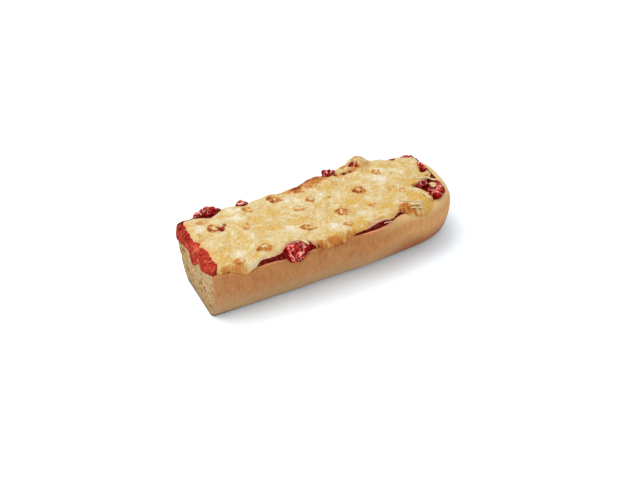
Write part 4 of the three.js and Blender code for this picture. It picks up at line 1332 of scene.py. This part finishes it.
# ========================================================================== operators
class PIZZA_OT_bread(bpy.types.Operator):
    """Builds the bread with its crust, cut crumb and split face"""

    bl_idname = "pizza.bread"
    bl_label = "Bread"

    def execute(self, context):
        settings = context.scene.pizza_bread
        grids, material = [bread_grid(settings)], bread_material(settings)
        make_piece("baked_bread", grids, material, "bread")
        return {"FINISHED"}


class PIZZA_OT_sauce(bpy.types.Operator):
    """Builds the tomato sauce on the split face and down the cut end"""

    bl_idname = "pizza.sauce"
    bl_label = "Tomato sauce"

    def execute(self, context):
        settings = context.scene.pizza_sauce
        grids, material = [sauce_grid(settings)], sauce_material(settings)
        make_piece("sauce_layer", grids, material, "tomato_sauce")
        return {"FINISHED"}


class PIZZA_OT_tomato(bpy.types.Operator):
    """Builds the soft tomato pieces round the edge"""

    bl_idname = "pizza.tomato"
    bl_label = "Soft tomato"

    def execute(self, context):
        settings = context.scene.pizza_tomato
        material = tomato_material(settings)
        for number, sizes in enumerate(TOMATO_PIECES, 1):
            grids = [tomato_grid(number, sizes, settings)]
            node = f"tomato_piece_{number}"
            make_piece(f"soft_tomato_{number}", grids, material, node)
        return {"FINISHED"}


class PIZZA_OT_cheese(bpy.types.Operator):
    """Builds the blanket of melted cheese, with loose strands draped over what is there"""

    bl_idname = "pizza.cheese"
    bl_label = "Melted cheese"

    def execute(self, context):
        settings = context.scene.pizza_cheese
        sheet = cheese_grid(settings)
        grids = [sheet, *(strand_grid(*strand, [*LAID, sheet]) for strand in STRANDS)]
        material = cheese_material(settings)
        make_piece("cheese_layer", grids, material, "melted_cheese")
        return {"FINISHED"}


class PIZZA_OT_stage(bpy.types.Operator):
    """Builds the floor, the soft light and the camera"""

    bl_idname = "pizza.stage"
    bl_label = "Stage"

    def execute(self, context):
        scene, settings = context.scene, context.scene.pizza_stage
        half = settings.floor_size / 2
        corners = [(-half, -half, 0), (half, -half, 0), (half, half, 0), (-half, half, 0)]
        mesh = bpy.data.meshes.new("floor")
        mesh.from_pydata(corners, [], [(0, 1, 2, 3)])
        mesh.materials.append(floor_material(settings))
        floor = bpy.data.objects.new("floor", mesh)
        scene.collection.objects.link(floor)
        floor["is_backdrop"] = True

        scene.world = bpy.data.worlds.new("studio")
        scene.world.use_nodes = True
        sky = scene.world.node_tree.nodes["Background"]
        sky.inputs["Color"].default_value = SKY_COLOUR
        sky.inputs["Strength"].default_value = settings.sky_strength

        lamp = bpy.data.lights.new("key", "AREA")
        lamp.shape, lamp.size = "SQUARE", LAMP_SIZE
        lamp.energy = settings.key_power
        key = bpy.data.objects.new("key", lamp)
        key.location = LAMP_PLACE

        azimuth, elevation = math.radians(CAMERA_AZIMUTH), math.radians(CAMERA_ELEVATION)
        level = math.cos(elevation)
        back = Vector((-math.sin(azimuth) * level, -math.cos(azimuth) * level, math.sin(elevation)))
        target = Vector((np.array(CAMERA_TARGET) + SHIFT) * MM)
        data = bpy.data.cameras.new("camera")
        data.lens, data.sensor_width = settings.lens, SENSOR_WIDTH
        data.clip_start, data.clip_end = CAMERA_CLIP
        camera = bpy.data.objects.new("camera", data)
        camera.location = target + back * CAMERA_DISTANCE * MM
        for thing, ahead in ((key, Vector(LAMP_AIM) - key.location), (camera, -back)):
            scene.collection.objects.link(thing)
            thing.rotation_mode = "QUATERNION"
            thing.rotation_quaternion = ahead.to_track_quat("-Z", "Y")
        scene.camera = camera
        scene.view_settings.view_transform = "Standard"
        return {"FINISHED"}


OPERATORS = (PIZZA_OT_bread, PIZZA_OT_sauce, PIZZA_OT_tomato, PIZZA_OT_cheese, PIZZA_OT_stage)


class PIZZA_PT_sidebar(bpy.types.Panel):
    """The pieces and what can be set on each"""

    bl_label = "Half-baguette cheese pizza"
    bl_idname = "PIZZA_PT_sidebar"
    bl_space_type = "VIEW_3D"
    bl_region_type = "UI"
    bl_category = "Pizza"

    def draw(self, context):
        for operator, (name, group) in zip(OPERATORS, SETTINGS.items()):
            box = self.layout.box()
            box.operator(operator.bl_idname)
            for setting in group.__annotations__:
                box.prop(getattr(context.scene, name), setting)


def register():
    """Registers the settings, operators and panel."""
    for group in SETTINGS.values():
        bpy.utils.register_class(group)
    for name, group in SETTINGS.items():
        setattr(bpy.types.Scene, name, PointerProperty(type=group))
    for operator in OPERATORS:
        bpy.utils.register_class(operator)
    bpy.utils.register_class(PIZZA_PT_sidebar)


def unregister():
    """Takes them away again."""
    bpy.utils.unregister_class(PIZZA_PT_sidebar)
    for operator in reversed(OPERATORS):
        bpy.utils.unregister_class(operator)
    for name in SETTINGS:
        delattr(bpy.types.Scene, name)
    for group in reversed(list(SETTINGS.values())):
        bpy.utils.unregister_class(group)


def main():
    """Builds every piece."""
    register()
    for operator in OPERATORS:
        getattr(bpy.ops.pizza, operator.bl_idname.split(".")[1])()
    boxes = {"cad": CAD_BOX, "visual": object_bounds()}
    boxes = {name: [list(corner) for corner in box] for name, box in boxes.items()}


if __name__ == "__main__":
    main()
